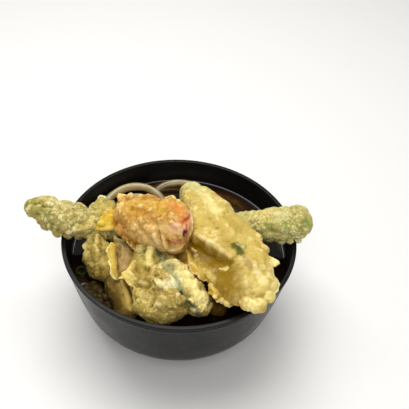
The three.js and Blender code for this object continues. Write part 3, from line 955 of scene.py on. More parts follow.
class UdonBrothLook(bpy.types.PropertyGroup):
    deep: colour("Deep", "Broth where nothing lies under it", 20, 10, 3)
    middle: colour("Middle", "Broth over sunken noodles", 46, 26, 8)
    shallow: colour("Shallow", "Broth just over a noodle", 96, 66, 22)
    meniscus: number("Meniscus", "How far the broth climbs the wall", 0.0007, unit="LENGTH")


class UdonNoodleLook(bpy.types.PropertyGroup):
    colour: colour("Colour", "Noodle above the broth", 176, 158, 112)
    soaked: colour("Soaked", "Noodle down by the broth", 104, 84, 46)
    core: colour("Core", "Packed noodles under the strands", 96, 74, 38)


class UdonOnionLook(bpy.types.PropertyGroup):
    flesh: colour("Flesh", "Inside of the spring onion", 40, 54, 16)
    skin: colour("Skin", "Outer skin of the spring onion", 22, 38, 8)


class UdonStageLook(bpy.types.PropertyGroup):
    floor: colour("Floor", "Pale floor", 238, 237, 235)
    key: number("Key light", "Power of the overhead light", 13.0, unit="POWER")
    fill: number("Fill light", "Power of the light from the front", 4.6, unit="POWER")
    sky: number("Sky", "Strength of the even light from all round", 0.32)


class UdonSettings(bpy.types.PropertyGroup):
    green: PointerProperty(type=UdonGreenBatter)
    stalk: PointerProperty(type=UdonStalkBatter)
    golden: PointerProperty(type=UdonGoldenBatter)
    pale: PointerProperty(type=UdonPaleBatter)
    leafy: PointerProperty(type=UdonLeafyBatter)
    folded: PointerProperty(type=UdonFoldedBatter)
    soaked: PointerProperty(type=UdonSoakedBatter)
    strip: PointerProperty(type=UdonStripBatter)
    bowl: PointerProperty(type=UdonBowlLook)
    broth: PointerProperty(type=UdonBrothLook)
    noodles: PointerProperty(type=UdonNoodleLook)
    onion: PointerProperty(type=UdonOnionLook)
    stage: PointerProperty(type=UdonStageLook)


# ------------------------------------------------------------------ operators
class UDON_OT_bowl(bpy.types.Operator):
    """Turns the black bowl with its lip, groove and foot ring"""

    bl_idname = "udon.bowl"
    bl_label = "Bowl"

    def execute(self, context):
        material = bowl_material(context.scene.udon.bowl)
        mesh = mesh_of("black_bowl", turned(bowl_profile(), SECTORS))
        finished("black_bowl", mesh, material, "bowl", "bowl")
        return {"FINISHED"}


class UDON_OT_broth(bpy.types.Operator):
    """Fills the bowl with broth, browner over the sunken noodles, with a meniscus at the wall"""

    bl_idname = "udon.broth"
    bl_label = "Broth"

    def execute(self, context):
        look = context.scene.udon.broth
        gap, thickness, rising, climb_reach = 0.1, 4, 4, 0.7
        edge = inner_radius(BROTH_Z) - gap
        radii = np.concatenate([np.linspace(0, edge - rising, 90), np.linspace(edge - rising, edge, 14)[1:]])
        climb = look.meniscus / MM * np.exp(-(edge - radii) / climb_reach)
        top = np.column_stack([radii, BROTH_Z + climb])
        low = BROTH_Z - thickness
        skin = turned(np.vstack([top, [(inner_radius(low) - gap, low), (0, low)]]), SECTORS)
        mesh = mesh_of("soy_broth", skin)
        add_number(mesh, "shallow", self.shallow(skin.points))
        finished("soy_broth", mesh, broth_material(look), "broth", "broth")
        return {"FINISHED"}

    def shallow(self, points):
        """From 0 to 1: how near a strand of noodle lies, as a bell curve of the distance."""
        reach = 6.5
        near = np.zeros(len(points))
        for rows in STRANDS:
            away = distance_to_line(points, spline(table_points(rows), np.linspace(0, 1, 30)))
            near = np.maximum(near, np.exp(-((away / reach) ** 2)))
        return near


class UDON_OT_noodles(bpy.types.Operator):
    """Lays the noodles: a packed core and the strands that show on it"""

    bl_idname = "udon.noodles"
    bl_label = "Noodles"

    def execute(self, context):
        look = context.scene.udon.noodles
        material = noodle_material(look)
        strands = joined([swept(rows, NOODLE_RADIUS) for rows in STRANDS])
        finished("noodle_strands", mesh_of("noodle_strands", strands), material, "noodles", "noodles")
        mound = pod([[0, 62, -29, 14, 8], [-3, 46, -27, 26, 10], [-5, 24, -19, 29, 13.5],
            [-6, 2, -17, 25, 14.5], [-2, -18, -20, 18, 10]], 0.3, (12, 4))
        gap, top = 0.35, BROTH_Z - 4.4
        wall = lower_curve(WALL_THICKNESS + gap, FLOOR_RADIUS, FLOOR_Z + 1, 10)[::-1]
        rows = [[(0, FLOOR_Z + gap)], wall, [(inner_radius(top) - gap, top), (0, top)]]
        packed = turned(np.vstack(rows), 96)
        core = mesh_of("noodle_core", joined([mound, packed]))
        finished("noodle_core", core, material, "noodles", "noodles")
        return {"FINISHED"}


class UDON_OT_asparagus(bpy.types.Operator):
    """Fries the two green pieces that rest on the rim, the tip on the left and the stalk on the right"""

    bl_idname = "udon.asparagus"
    bl_label = "Asparagus"

    def execute(self, context):
        looks = context.scene.udon
        self.tip(batter_material("green_batter", looks.green))
        self.stalk(batter_material("stalk_batter", looks.stalk))
        return {"FINISHED"}

    def tip(self, material):
        shapes = [
            pod([[-120, -0.5, 17, 3, 2.5], [-114, 0, 16, 7, 6.5], [-105, -0.5, 14.5, 11, 10],
                [-93, -3, 12, 12, 11.5], [-81, -2.5, 9, 12.5, 12], [-68, 1.5, 2.5, 12, 12],
                [-55, 6, -5, 11, 11], [-42, 11, -12, 9, 9]], 0.1, (7.5, 4)),
            pod([[-72, 13, 1, 7, 7], [-61, 16, 2, 9.5, 8], [-51, 14, -1, 8, 7]], 0.45, (7, 3)),
            flap([[-93, 2, 20], [-84, 1, 19], [-76, 2, 16]],
                [[-92, -3, 24], [-84, -4, 23.5], [-77, -4, 20.5]], 2.6, 0.8, 3, 0.3),
            flap([[-74, 12, 5], [-65, 15, 7], [-56, 14, 6]],
                [[-73, 17, 8], [-65, 23.5, 10], [-56.5, 20.5, 9]], 2.4, 0.8, 3, 0.6),
            *lobes([[-77.5, -10, 2.5, 4.2, 4, 7], [-84.5, -12, 4, 4, 3.6, 5.8],
                [-92.5, -13.5, 6.5, 4.2, 3.4, 4.8], [-101, -11, 9.5, 4.4, 3.6, 4.6],
                [-109.5, -5.5, 12.5, 3.2, 2.6, 3.4], [-99, -3, 23.5, 4, 3, 2.4],
                [-87, -9, 17.5, 3, 3.4, 3]]),
        ]
        patches = [
            # Painted shade: darker olive along the underside of the tip.
            ((146, 130, 60), 8, 0.6, [[-108, -11, 11], [-96, -14, 6], [-81, -14, 3]]),
            ((226, 208, 146), 4.5, 0.6, [[-106, 3, 22.7], [-93, -0.7, 23.5], [-80, -4, 21]]),
            ((206, 196, 128), 5, 0.5, [[-103, -8, 19], [-92, -9, 17], [-80, -9, 14]]),
            ((148, 148, 60), 5, 0.85, [[-117, -2, 18], [-113, 0, 20]]),
            ((150, 156, 74), 3.2, 0.5, [[-104, -7.5, 21.8], [-108, -5, 22]]),
            ((136, 142, 84), 5, 0.6, [[-98, -11, 19.5]]),
            ((150, 152, 74), 4, 0.6, [[-90, -13, 12], [-84, -13, 9]]),
            ((224, 202, 108), 6, 0.5, [[-74, -12, 13], [-68, -8, 12]]),
            ((206, 186, 96), 11, 0.6, [[-62, 15, 11]]),
            ((150, 144, 84), 5, 0.6, [[-60, 20, 9]]),
            ((196, 140, 60), 2.4, 0.7, [[-57, 19, 9]]),
        ]
        crust = Crust(
            cell=0.4, soften=4, swell=0.8, fold=0.2, fold_size=7,
            lump=1.5, lump_size=5.2, crag=0.9, crag_size=2.9, grain=0.15, polish=2,
        )
        crusted(
            "asparagus_tip_batter", shapes, crust, material, "green_batter", "asparagus_tip",
            patches=patches,
        )

    def stalk(self, material):
        shapes = [
            pod([[101.5, 10.5, 14.5, 11, 9.5], [92, 9.5, 13, 13, 12.5], [82, 8.5, 10.5, 13, 13],
                [70, 9.5, 7.5, 12.5, 12.5], [60, 14, 1, 11, 11], [51, 22, -6, 10, 9], [42, 31, -13, 8, 8]],
                0.12, (7.5, 3)),
            *lobes([[88.5, 13, 22.5, 4.4, 3.6, 3.6], [79, -2.5, 3, 3.2, 2.4, 3],
                [85.5, -2.8, 3.5, 3, 2.4, 2.8], [91.5, -2.8, 5.5, 2.8, 2.2, 2.6]]),
        ]
        patches = [
            ((226, 200, 116), 8, 0.6, [[60, 14, 10], [66, 10, 17]]),
            # Painted shade: darker along the low front side of the stalk.
            ((124, 104, 56), 8, 0.6, [[66, 2, -1], [74, 3, -3]]),
            ((118, 136, 50), 3.2, 0.8, [[66, 2, 15], [70, 0, 15]]),
            ((122, 142, 52), 3.2, 0.75, [[78.7, -0.8, 19.3], [80, -3, 17]]),
            ((116, 144, 50), 4.2, 0.8, [[94.3, 1.2, 22.2], [98, 0, 19]]),
            ((122, 142, 52), 3.2, 0.7, [[91.2, -2.8, 16.1]]),
            ((156, 164, 76), 7, 0.5, [[98, 3, 18], [99, -1, 14]]),
            ((230, 220, 160), 5, 0.5, [[74, 6, 21], [82, 6, 22]]),
        ]
        crust = Crust(
            cell=0.4, soften=4, swell=0.6, fold=0.2, fold_size=7,
            lump=1.1, lump_size=4.9, crag=1.05, crag_size=2.7, grain=0.22, polish=1,
        )
        crusted(
            "asparagus_stalk_batter", shapes, crust, material, "green_batter", "asparagus_stalk",
            calms=[(12, 0.4, [[99, 6, 17]])], patches=patches,
        )


class UDON_OT_crab_stick(bpy.types.Operator):
    """Fries the golden piece on top, pink and red at its open right end"""

    bl_idname = "udon.crab_stick"
    bl_label = "Crab stick"

    def execute(self, context):
        material = batter_material("golden_batter", context.scene.udon.golden)
        shapes = [
            pod([[-50, 5, 11, 8, 9], [-42, 2, 13, 13.5, 14.5], [-31, -3, 14.5, 17, 17],
                [-18, -7, 16, 19, 18], [-7, -10.5, 17, 19, 18.5], [2, -12, 17, 18.5, 18],
                [9.5, -12.5, 16.5, 15, 15]], 0.2, (9, 2.6)),
            flap([[-44, 6, 12], [-43, -3, 9]], [[-58, 5, 15], [-57, -4, 10]], 4.6, 0.6, 1, 0.1),
            flap([[-50, 2, 13], [-47, -3, 10], [-46, -8, 8]],
                [[-60, 0, 13.5], [-69, -8.5, 9], [-59, -11, 7]], 4.2, 1, 1, 0.12),
            *lobes([[-58.5, 1.5, 13.5, 3, 2.8, 2.2], [-60, -6, 10.5, 3.4, 2.6, 2.2]]),
            flap([[-40, -12, 9], [-34, -15, 6], [-26, -18, 5]],
                [[-39, -20.5, 7], [-34, -23.5, 4], [-26, -23, 5]], 2.2, 0.9, 3, 0.4),
            flap([[-46, 3, 20], [-36, 3, 23]], [[-48.5, 7, 30], [-37.5, 7, 31]], 4.4, 0.6, 1, 0.3),
            flap([[-33, 2, 24], [-26, 2, 25], [-18, 1, 26]], [[-33, 8.5, 29], [-25, 11, 30], [-17, 7, 30]],
                4, 0.6, 2, 0.4),
            flap([[-14, 0, 27], [-8, 0, 28], [-2, -2, 28]], [[-13, 8, 29], [-7, 10, 30], [-1, 7, 29]], 4,
                0.6, 2, 0.4),
            *lobes([[-44, -13, 13, 4, 4, 5], [-39.5, -16, 9, 3.4, 3.4, 3.6], [-47, -5, 18, 3.6, 5, 5],
                [-30, -18, 22, 5, 4, 4], [-21, -21, 25, 4.5, 4, 4]]),
        ]
        blister, slit = [[-29.8, -5.7, 32]], [[-6.4, -29, 21], [-5.6, -31, 16.5]]
        left_rib = [[-18.4, -23.5, 26.5], [-16.8, -27.5, 22], [-14, -30.5, 16]]
        right_rib = [[-12, -25, 26], [-10, -29, 21], [-8, -31, 15]]
        collar = [[7, -7, 30], [10, -13, 26], [10.4, -18, 20], [7.6, -25, 17], [2.5, -30, 15],
            [-5.4, -32, 13]]
        ridges = [
            (1.6, 1.8, [[-47, 5, 29], [-45, -2, 28.5], [-43.8, -8, 26]]),
            (1.8, 1.8, blister),
            (-1.6, 2.4, [[-35, -7, 30], [-31.4, -8.3, 30.5], [-28, -9, 31]]),
            (-1.8, 2.2, [[-13.4, -12.8, 34.8], [-14, -17, 33]]),
            (-1, 3, [[-9, -8, 34.5], [-10, -16, 33.5]]),
            (1.4, 1.8, left_rib),
            (1.6, 1.8, right_rib),
            (-1.4, 1.5, [[-14.5, -26, 25], [-12.4, -30, 18]]),
            (-1.8, 1.7, slit),
            (-0.8, 2, [[4.4, -25, 26.6]]),
            (1.8, 1.9, collar),
            (-1.2, 1.5, [[1.4, -20, 31.2], [4, -15.6, 30.5], [7.4, -10.8, 29.2]]),
            (1.6, 2.2, [[-5, -21, 33], [-1, -23, 31]]),
            (1.2, 1.8, [[1, -25.3, 29], [2, -27, 25.5]]),
            (1.2, 2, [[-22, -12, 34], [-25, -9, 34]]),
            (1.2, 2, [[-17, -4, 34], [-12, -3, 35]]),
        ]
        patches = [
            ((212, 168, 66), 9, 0.6, [[-36, -4, 29], [-22, -8, 33], [-12, -6, 34]]),
            ((188, 134, 62), 9, 0.8, [[-46, -4, 22], [-44, -14, 18], [-38, -20, 14]]),
            ((236, 204, 116), 5, 0.8, [[-48, 6, 30], [-46, -2, 26]]),
            ((196, 140, 34), 4, 0.7, [[-17, -8, 35], [-15, -13, 35]]),
            ((184, 120, 40), 3, 0.6, [[-24, -14, 32], [-20, -18, 31]]),
            ((198, 128, 56), 2.6, 0.7, [[-35, -7, 30], [-31.4, -8.3, 30.5], [-27, -9, 31]]),
            ((252, 238, 188), 2.2, 0.95, blister),
            ((206, 172, 60), 3.4, 0.7, [[-13.4, -12.8, 34.8], [-13, -6, 34]]),
            ((228, 190, 118), 9, 0.7, [[-32, -20, 20], [-20, -24, 24], [-8, -25, 28]]),
            ((226, 196, 130), 8, 0.7, [[-24, -26, 14], [-12, -30, 14], [0, -31, 14]]),
            ((216, 142, 62), 7, 0.8, [[-6.5, -6, 34], [-1, -8, 34], [1, -13, 33.5]]),
            ((240, 178, 126), 5.5, 0.85, [[5, -10, 31], [7, -15, 28]]),
            ((238, 190, 146), 7, 0.85, [[-3, -24, 30], [2, -24, 29], [7, -20, 25]]),
            ((250, 220, 172), 2.4, 0.9, collar),
            ((226, 100, 64), 3.2, 0.7, [[1.6, -20, 32], [3.6, -17, 32], [6.9, -12, 29.8]]),
            ((206, 62, 36), 1.5, 0.85, [[3.4, -17.4, 32], [6.7, -12, 29.9]]),
            ((210, 82, 60), 2, 0.85, [[5.4, -19.6, 29.6], [5.6, -21.8, 28]]),
            ((214, 116, 82), 1.7, 0.75, [[-4.5, -19, 33.5], [-3, -22, 31.5]]),
            ((206, 120, 100), 3, 0.9, [[3.4, -26.5, 21], [-0.8, -28.5, 22.5], [-3.4, -30, 21]]),
            ((104, 14, 26), 3.3, 1, [[4.4, -24.8, 27], [5.4, -23.2, 25], [4.4, -26, 25.8]]),
            # Painted highlight: pale cream along the tops of the two ribs.
            ((250, 230, 178), 1.8, 0.85, left_rib),
            ((250, 230, 180), 1.8, 0.85, right_rib),
            ((184, 96, 40), 1.7, 0.95, slit),
            ((214, 180, 50), 12, 0.95, [[-66, -8, 9], [-56, -4, 11], [-50, 2, 12]]),
            ((180, 130, 26), 3.4, 0.85, [[-51, -5, 10], [-50, 2, 13]]),
            ((238, 214, 96), 2.4, 0.8, [[-58, -8, 11.5], [-65, -5, 12]]),
        ]
        crust = Crust(
            cell=0.46, soften=4, swell=1, fold=0.15, fold_size=8,
            lump=1.2, lump_size=5.2, crag=0.8, crag_size=2.8, grain=0.2, polish=2,
        )
        crusted(
            "crab_stick_batter", shapes, crust, material, "golden_batter", "crab_stick_fritter",
            ridges=ridges, patches=patches,
        )
        return {"FINISHED"}


class UDON_OT_long_fritter(bpy.types.Operator):
    """Fries the long pale slab with its ridge, its smooth hollow and its lacy fringe"""

    bl_idname = "udon.long_fritter"
    bl_label = "Long fritter"

    def execute(self, context):
        material = batter_material("pale_batter", context.scene.udon.pale)
        fringe = [[2, -16.5, 3], [6, -25, 4], [6.5, -35.5, 5], [12.5, -44, 5], [20, -49.5, 4.5],
            [23.5, -52, 5], [23.5, -57.5, 4], [27.5, -63.5, 4], [36, -70, 5], [44, -73, 6.5]]
        shapes = [
            pod([[1, 61, -8, 5.5, 5, 0, 0.9], [5, 51, -3, 9.5, 9, 0, 0.9], [12.5, 34, 3, 15, 12, 0, 0.9],
                [22, 13, 6, 21, 12.5, 0.3, 0.95], [31, -9, 7, 26, 12.5, 0.9, 0.9],
                [36, -19, 7.2, 26.5, 12.5, 1, 0.66], [41, -29, 7.5, 26.5, 12.5, 1, 0.44],
                [45.5, -38, 8, 25, 12.4, 0.7, 0.24], [50, -46.7, 8.5, 22.5, 12, 0.25, 0.1],
                [55.5, -61, 9.5, 20, 10.5, 0, 0], [62, -73, 9.5, 12.5, 9, 0, 0]], 0.12, (9, 1.8), rings=240,
                sectors=170),
            flap([[10, -14, 5], [14, -22, 7], [18, -31, 7], [24, -39, 7.5], [30, -45, 8], [33, -51, 8],
                [35, -57, 8], [39, -63, 8], [46, -66, 9]], fringe, 2.4, 1.2, 8, 0.35),
            flap([[8, -14, 3], [11, -24, 4], [13, -34, 4]], [[-4, -17, -3], [0, -26, -3], [3, -36, -2]],
                5, 0.8, 2, 0.2),
            flap([[60, -25, 13], [62, -32, 13], [62, -39, 12]],
                [[67, -29, 12], [75.5, -36, 13.5], [67, -40, 12]], 3, 0.5, 1, 0.3),
            flap([[62, -42, 12], [63, -51, 11], [62, -60, 10]],
                [[69.5, -42, 11], [75, -55, 11], [69, -64, 10]], 5, 0.6, 1, 0.2),
            *lobes([[59.5, -75, 12.5, 6.5, 6, 5], [51.5, -74, 12.5, 5.5, 5, 4.4],
                [66, -67, 12.5, 5, 5, 4.4], [34, 22, 8, 4.5, 5, 4], [47, 5, 10, 4, 5, 3.6],
                [58, -12, 12, 4.2, 4.8, 3.6], [63.5, -22, 12, 4.8, 4.4, 3.8]]),
            flap([[11, -27, 8], [14.5, -28.5, 8]], [[9.5, -27, 14], [14.5, -28.5, 13]], 2.2, 0.4, 1, 0.4),
            flap([[29.5, -47.5, 8], [33, -50, 8]], [[31.5, -43.8, 15.5], [38, -46, 15]], 2.2, 0.4, 1, 0.4),
            *scallops([[28, -62, 5], [36, -69, 6.5], [46, -73, 9]], 4, 2.2, 15),
        ]
        lip = [[11.5, -18.5, 21], [15.8, -22, 21.3], [21.8, -25.8, 21.3], [26.6, -29.4, 21.3],
            [32.4, -35.6, 21.3], [37.5, -39.2, 21.3]]
        hollow = [[9, -19, 9], [15, -25, 9.5], [22, -31, 10], [29, -37, 10.5], [35, -43.5, 12],
            [39, -51, 13], [42, -59, 13.5]]
        curl = [[3.4, -17, 4], [8, -25, 5], [9.5, -34, 6], [15.5, -41.5, 6.5], [23, -46.5, 6.5],
            [27.5, -50, 6.5], [27, -57, 6], [30, -61.5, 6]]
        ridges = [
            (0.6, 2.2, lip),
            (1.3, 1.3, curl),
            (-1, 4, [[24, -2, 19], [33, -14, 21]]),
            (1.8, 1.4, [[42, -26.5, 22.6], [45.5, -29, 23.4], [48.5, -30, 22.6]]),
            (-1.8, 1.5, [[42.5, -30, 23], [46, -33.5, 23.4]]),
            (1.6, 1.3, [[43.5, -34.5, 23], [47.5, -36, 22.6]]),
            (1.8, 3, [[55, -47, 20], [56, -53, 19]]),
            (-1.6, 3, [[62, -52, 16], [58, -62, 17]]),
            (1.6, 2.2, [[50, -62, 18], [44, -64, 16]]),
            (1.4, 2.2, [[60, -30, 17], [62, -36, 16]]),
            (-1.8, 1.4, [[55, -70, 17.5], [59, -75, 16]]),
        ]
        patches = [
            ((206, 176, 88), 8, 0.5, [[55, -8, 17], [60, -18, 17], [62, -28, 16]]),
            ((196, 166, 80), 5, 0.6, [[24, -2, 19], [33, -14, 21], [38, -22, 22]]),
            ((206, 204, 140), 10, 0.8, [[5, 50, 4], [3, 56, -2], [10, 44, 12]]),
            ((244, 232, 160), 7, 0.5, [[14, 36, 15], [20, 22, 18], [27, 8, 19]]),
            ((236, 214, 132), 6, 0.5, [[50, -60, 19], [57, -66, 18], [63, -62, 17]]),
            ((176, 148, 66), 5, 0.6, [[36, 2, 19], [44, -10, 19]]),
            ((190, 158, 76), 9, 0.6, [[33, -20, 21], [38, -28, 22]]),
            ((206, 182, 104), 6, 0.6, [[46, -46, 20], [47, -54, 19]]),
            # Painted shade: dark mustard and olive over the hollow and the lower side of the slab beside it.
            ((148, 118, 38), 13, 0.9, [[40, -50, 15], [42, -58, 15], [43, -66, 14]]),
            ((160, 132, 52), 6, 0.8, [[41, -49, 18], [42, -58, 17.5], [42, -66, 16]]),
            ((130, 98, 6), 14, 1, hollow[:5]),
            ((140, 108, 18), 11, 0.9, [[34, -48, 11], [36, -56, 11], [37, -63, 11]]),
            ((214, 190, 112), 5, 0.7, [[50, -63, 18], [54, -58, 19]]),
            # Painted highlight: a thin pale line along the lip's edge.
            ((224, 196, 126), 3, 0.75, lip),
            ((164, 132, 82), 3, 0.75, [[48.5, -38, 22.4], [51, -44, 21.8], [53, -50, 21.6]]),
            ((88, 88, 20), 5.2, 1, [[41, -28.5, 22.8], [44, -32, 23.4], [46.5, -36, 23]]),
            ((44, 52, 10), 2.2, 0.9, [[42.5, -30, 23], [45, -33.5, 23.4]]),
            ((108, 118, 42), 2.4, 0.9, [[45.5, -28.5, 23.3], [49, -29.5, 22.6]]),
            ((214, 208, 136), 1.5, 1, [[43, -28.2, 23.2], [45.4, -29.4, 23.6]]),
            ((226, 208, 116), 1.5, 1, [[46.5, -31.8, 23.6], [48.6, -33, 23]]),
            ((216, 198, 110), 1.3, 0.95, [[43.8, -34.8, 23.4]]),
            ((182, 148, 50), 7, 0.9, [[5, -26, 3], [13, -39, 4], [23, -48, 5], [27, -60, 5]]),
            # Painted shade: the sheet under the fringe darkened in the gap below it.
            ((146, 108, 28), 9, 0.95, [[-1, -18, 0], [2.5, -27, 0], [5, -36, 0]]),
            ((214, 182, 86), 2.4, 0.85, curl),
            ((196, 174, 146), 2.4, 0.8, [[13, -26.1, 8], [14.5, -30, 8.5]]),
            ((184, 150, 56), 5, 0.8, [[30, -62, 7], [37, -70, 8], [48, -74, 10]]),
            ((248, 232, 156), 7, 0.6, [[69, -40, 12], [73, -56, 11], [66, -70, 13], [56, -76, 15]]),
            # Painted highlight: a near-white sheen on the lower right of the slab.
            ((250, 236, 176), 5, 0.6, [[58, -52, 20], [62, -58, 17]]),
            ((236, 214, 136), 3, 0.85, [[11, -27, 13.5], [13.5, -28, 13]]),
            ((240, 220, 140), 3, 0.85, [[32, -44.5, 15], [37, -46, 15]]),
        ]
        crust = Crust(
            cell=0.5, soften=4, swell=1.2, fold=0.14, fold_size=9,
            lump=1.2, lump_size=7, crag=0.35, crag_size=3.2, grain=0.1, polish=2,
        )
        calms = [(14, 0.85, hollow), (8, 0.5, [[44, -58, 15]])]
        crusted(
            "long_fritter_batter", shapes, crust, material, "pale_batter", "long_fritter",
            ridges=ridges, calms=calms, patches=patches,
        )
        return {"FINISHED"}


class UDON_OT_leafy_fritter(bpy.types.Operator):
    """Fries the knobbly piece in front, with dark leaf showing through its batter"""

    bl_idname = "udon.leafy_fritter"
    bl_label = "Leafy fritter"

    def execute(self, context):
        material = batter_material("leafy_batter", context.scene.udon.leafy)
        shapes = [
            pod([[-19, -12, -8, 12, 11], [-19.5, -24, -6, 14.5, 14], [-16, -38, -5, 19.5, 16],
                [-9.5, -52, -5, 22.5, 16.5], [-2, -64, -7, 23, 15.5], [6, -74, -10, 17, 11]], 0.2,
                (11, 1.8), rings=200, sectors=150),
            pod([[1, -33, -3, 6, 7], [4, -40, -2.5, 8, 9], [7.8, -47, -3.5, 8.6, 9.5],
                [13, -54, -5.5, 9, 9.5], [19, -61, -8.5, 9.4, 9], [25.5, -68, -12.5, 8.6, 8.5]], 0.2,
                (8, 3.4)),
            pod([[-27.5, -63, -6, 5, 5.5], [-22, -67, -6, 7, 7.5], [-15, -70, -7, 6, 6]], 0.45, (7, 1.6)),
            flap([[-24, -34, 0], [-25, -45, 1], [-23, -57, 0]],
                [[-31, -36, 4], [-39.5, -47.5, 2.5], [-29, -60, 1]], 8, 1.2, 2, 0.25),
            flap([[-33, -44, 2], [-32, -52, 1]], [[-38, -44, 3], [-42, -52, 1.5]], 3, 0.5, 1, 0.4),
            *lobes([[-26.5, -26, 3, 5, 5, 6], [-19.5, -28, 7.5, 4, 5, 4], [-20, -35, 8, 4.6, 6, 4],
                [-12, -27, 2, 5, 5, 5], [-3, -42, 7, 8.5, 6, 5]]),
            flap([[-9, -57, 9], [-4, -62, 9]], [[-17, -57.5, 13.5], [-11, -64, 13]], 3.4, 0.5, 1, 0.3),
            *lobes([[-3, -64, 7, 5, 4, 4], [3, -67, 3, 6, 5, 5]]),
            flap([[8, -62, 0], [12, -69, -4]], [[14, -66, 1], [17, -73, -4]], 3, 0.6, 1, 0.4),
        ]
        ridges = [
            (1.2, 3, [[-19.4, -30, 11], [-20.4, -44, 12]]),
            (-3.2, 2.8, [[-13.6, -29, 8.5], [-14.4, -42, 10.5]]),
            (-2, 2, [[-23.6, -29, 8], [-25, -40, 8]]),
            (1.2, 2.6, [[-10.3, -44, 10.5], [-8.8, -40.5, 10.5], [-3.5, -38.6, 11], [1.4, -40.5, 12],
                [3.6, -45, 12.5], [2.6, -49, 11.5]]),
            (-2, 2.6, [[-4.2, -44, 11], [-1, -46, 11]]),
            (-1.4, 3, [[-6, -46, 10.5], [0.1, -50.7, 9.5], [2.8, -57, 7.5], [5, -62, 5.5]]),
            (1.2, 2.4, [[-8, -64, 10], [-3, -66, 9], [2, -67, 7]]),
            (-1.8, 2, [[-10, -66, 8], [-12, -72, 5]]),
            (-2.4, 1.8, [[5.7, -63, 5]]),
            (-2.8, 3, [[-20, -48, 10], [-20, -55, 9], [-18, -61, 8.5]]),
            (-1.8, 2, [[-12, -48, 11], [-13, -54, 11]]),
            (1.6, 1.8, [[-36, -42, 5], [-33, -48, 5.5], [-29, -53, 5]]),
            (-1.8, 2.2, [[-31, -43, 5], [-28, -48, 5.5]]),
            (1.6, 2.4, [[-24, -66, 4], [-20, -71, 2]]),
            (-2.8, 2.2, [[-14.5, -66, 8], [-14, -75, 2]]),
            (-2.4, 2.2, [[-29, -58, 3], [-25, -61, 5], [-19, -62, 6.5]]),
            (1.6, 2, [[-10, -69, 8], [-4, -72, 5], [3, -74, 2]]),
            (-1.6, 2.2, [[11, -68, -1], [15, -71, -5]]),
            (-1.4, 1.8, [[8, -45, 6], [12, -52, 4]]),
            (1.4, 2.4, [[5, -41, 7], [9, -48, 6.5], [15, -55, 4]]),
        ]
        patches = [
            ((236, 210, 120), 9, 0.85, [[-36, -42, 3], [-38, -48, 3], [-33, -56, 2.5]]),
            # Painted shade: darker olive over the top of the piece, under the crab stick.
            ((150, 130, 62), 10, 0.85, [[-24, -28, 8], [-18, -31, 9], [-12, -33, 9], [-8, -38, 9]]),
            ((222, 198, 108), 5, 0.7, [[-25, -66, 3], [-20, -70, 2]]),
            ((158, 132, 54), 7, 0.8, [[-27, -46, 6], [-21, -54, 9], [-18, -62, 7.5]]),
            ((160, 136, 62), 9, 0.75, [[-18, -66, 6], [-9, -70, 7], [2, -72, 4]]),
            ((168, 154, 84), 5, 0.7, [[-27, -28, 6], [-25, -38, 8]]),
            ((224, 206, 124), 4, 0.8, [[-19.4, -30, 11.5], [-20.4, -42, 12]]),
            ((104, 102, 66), 4.6, 0.95, [[-14.9, -30, 9], [-10.1, -34.4, 9], [-11, -38, 10]]),
            ((100, 98, 60), 3, 0.9, [[-9.5, -32, 7.5], [-7, -36, 8.5]]),
            ((204, 192, 126), 3.2, 0.7, [[-10.3, -44, 10.5], [-3.5, -39.5, 11], [3, -44, 11]]),
            ((172, 170, 120), 6, 0.8, [[-6.4, -43, 11], [-2, -47.5, 10.5], [0.1, -50.7, 9.5]]),
            ((146, 152, 108), 5, 0.9, [[1, -52, 9], [2.8, -57, 7.5], [4.5, -61, 6]]),
            ((132, 136, 92), 3.4, 0.9, [[3.4, -62, 6], [6.5, -64, 4.6], [8.5, -64.5, 3]]),
            ((248, 238, 190), 5.4, 0.75, [[-9, -61, 12], [-3.6, -62, 9], [-1, -58, 9]]),
            ((250, 240, 196), 2.6, 0.7, [[-3, -51, 10.5], [-1, -55, 9.5]]),
            ((206, 210, 166), 1.6, 0.75, [[2.6, -50, 9], [5, -54, 8]]),
            ((206, 210, 166), 1.8, 0.75, [[6, -67, 3], [9.5, -66.5, 1]]),
            ((250, 232, 156), 8, 0.8, [[5, -44, 7], [9, -51, 5.5], [15, -58, 3], [21, -64, -1]]),
            ((186, 180, 104), 3, 0.6, [[12, -58, 3], [15, -63, 0]]),
            ((14, 26, 12), 2.4, 1, [[5.5, -63.4, 5.5], [6.2, -64.2, 5]]),
            ((84, 92, 66), 4.6, 0.9, [[11, -69, -0.5], [16, -70.3, -3], [19, -72, -7]]),
            ((48, 54, 40), 2, 0.9, [[14.5, -70.5, -2.5]]),
            ((76, 80, 40), 1.6, 0.9, [[-23.9, -29.7, 8]]),
            ((80, 80, 40), 1.5, 0.85, [[-28, -62, 2]]),
        ]
        crust = Crust(
            cell=0.46, soften=4, swell=1.3, fold=0.2, fold_size=7,
            lump=1.35, lump_size=5.7, crag=0.75, crag_size=2.9, grain=0.18, polish=1,
        )
        crusted(
            "leafy_fritter_batter", shapes, crust, material, "leafy_batter", "leafy_fritter",
            ridges=ridges, patches=patches,
        )
        return {"FINISHED"}


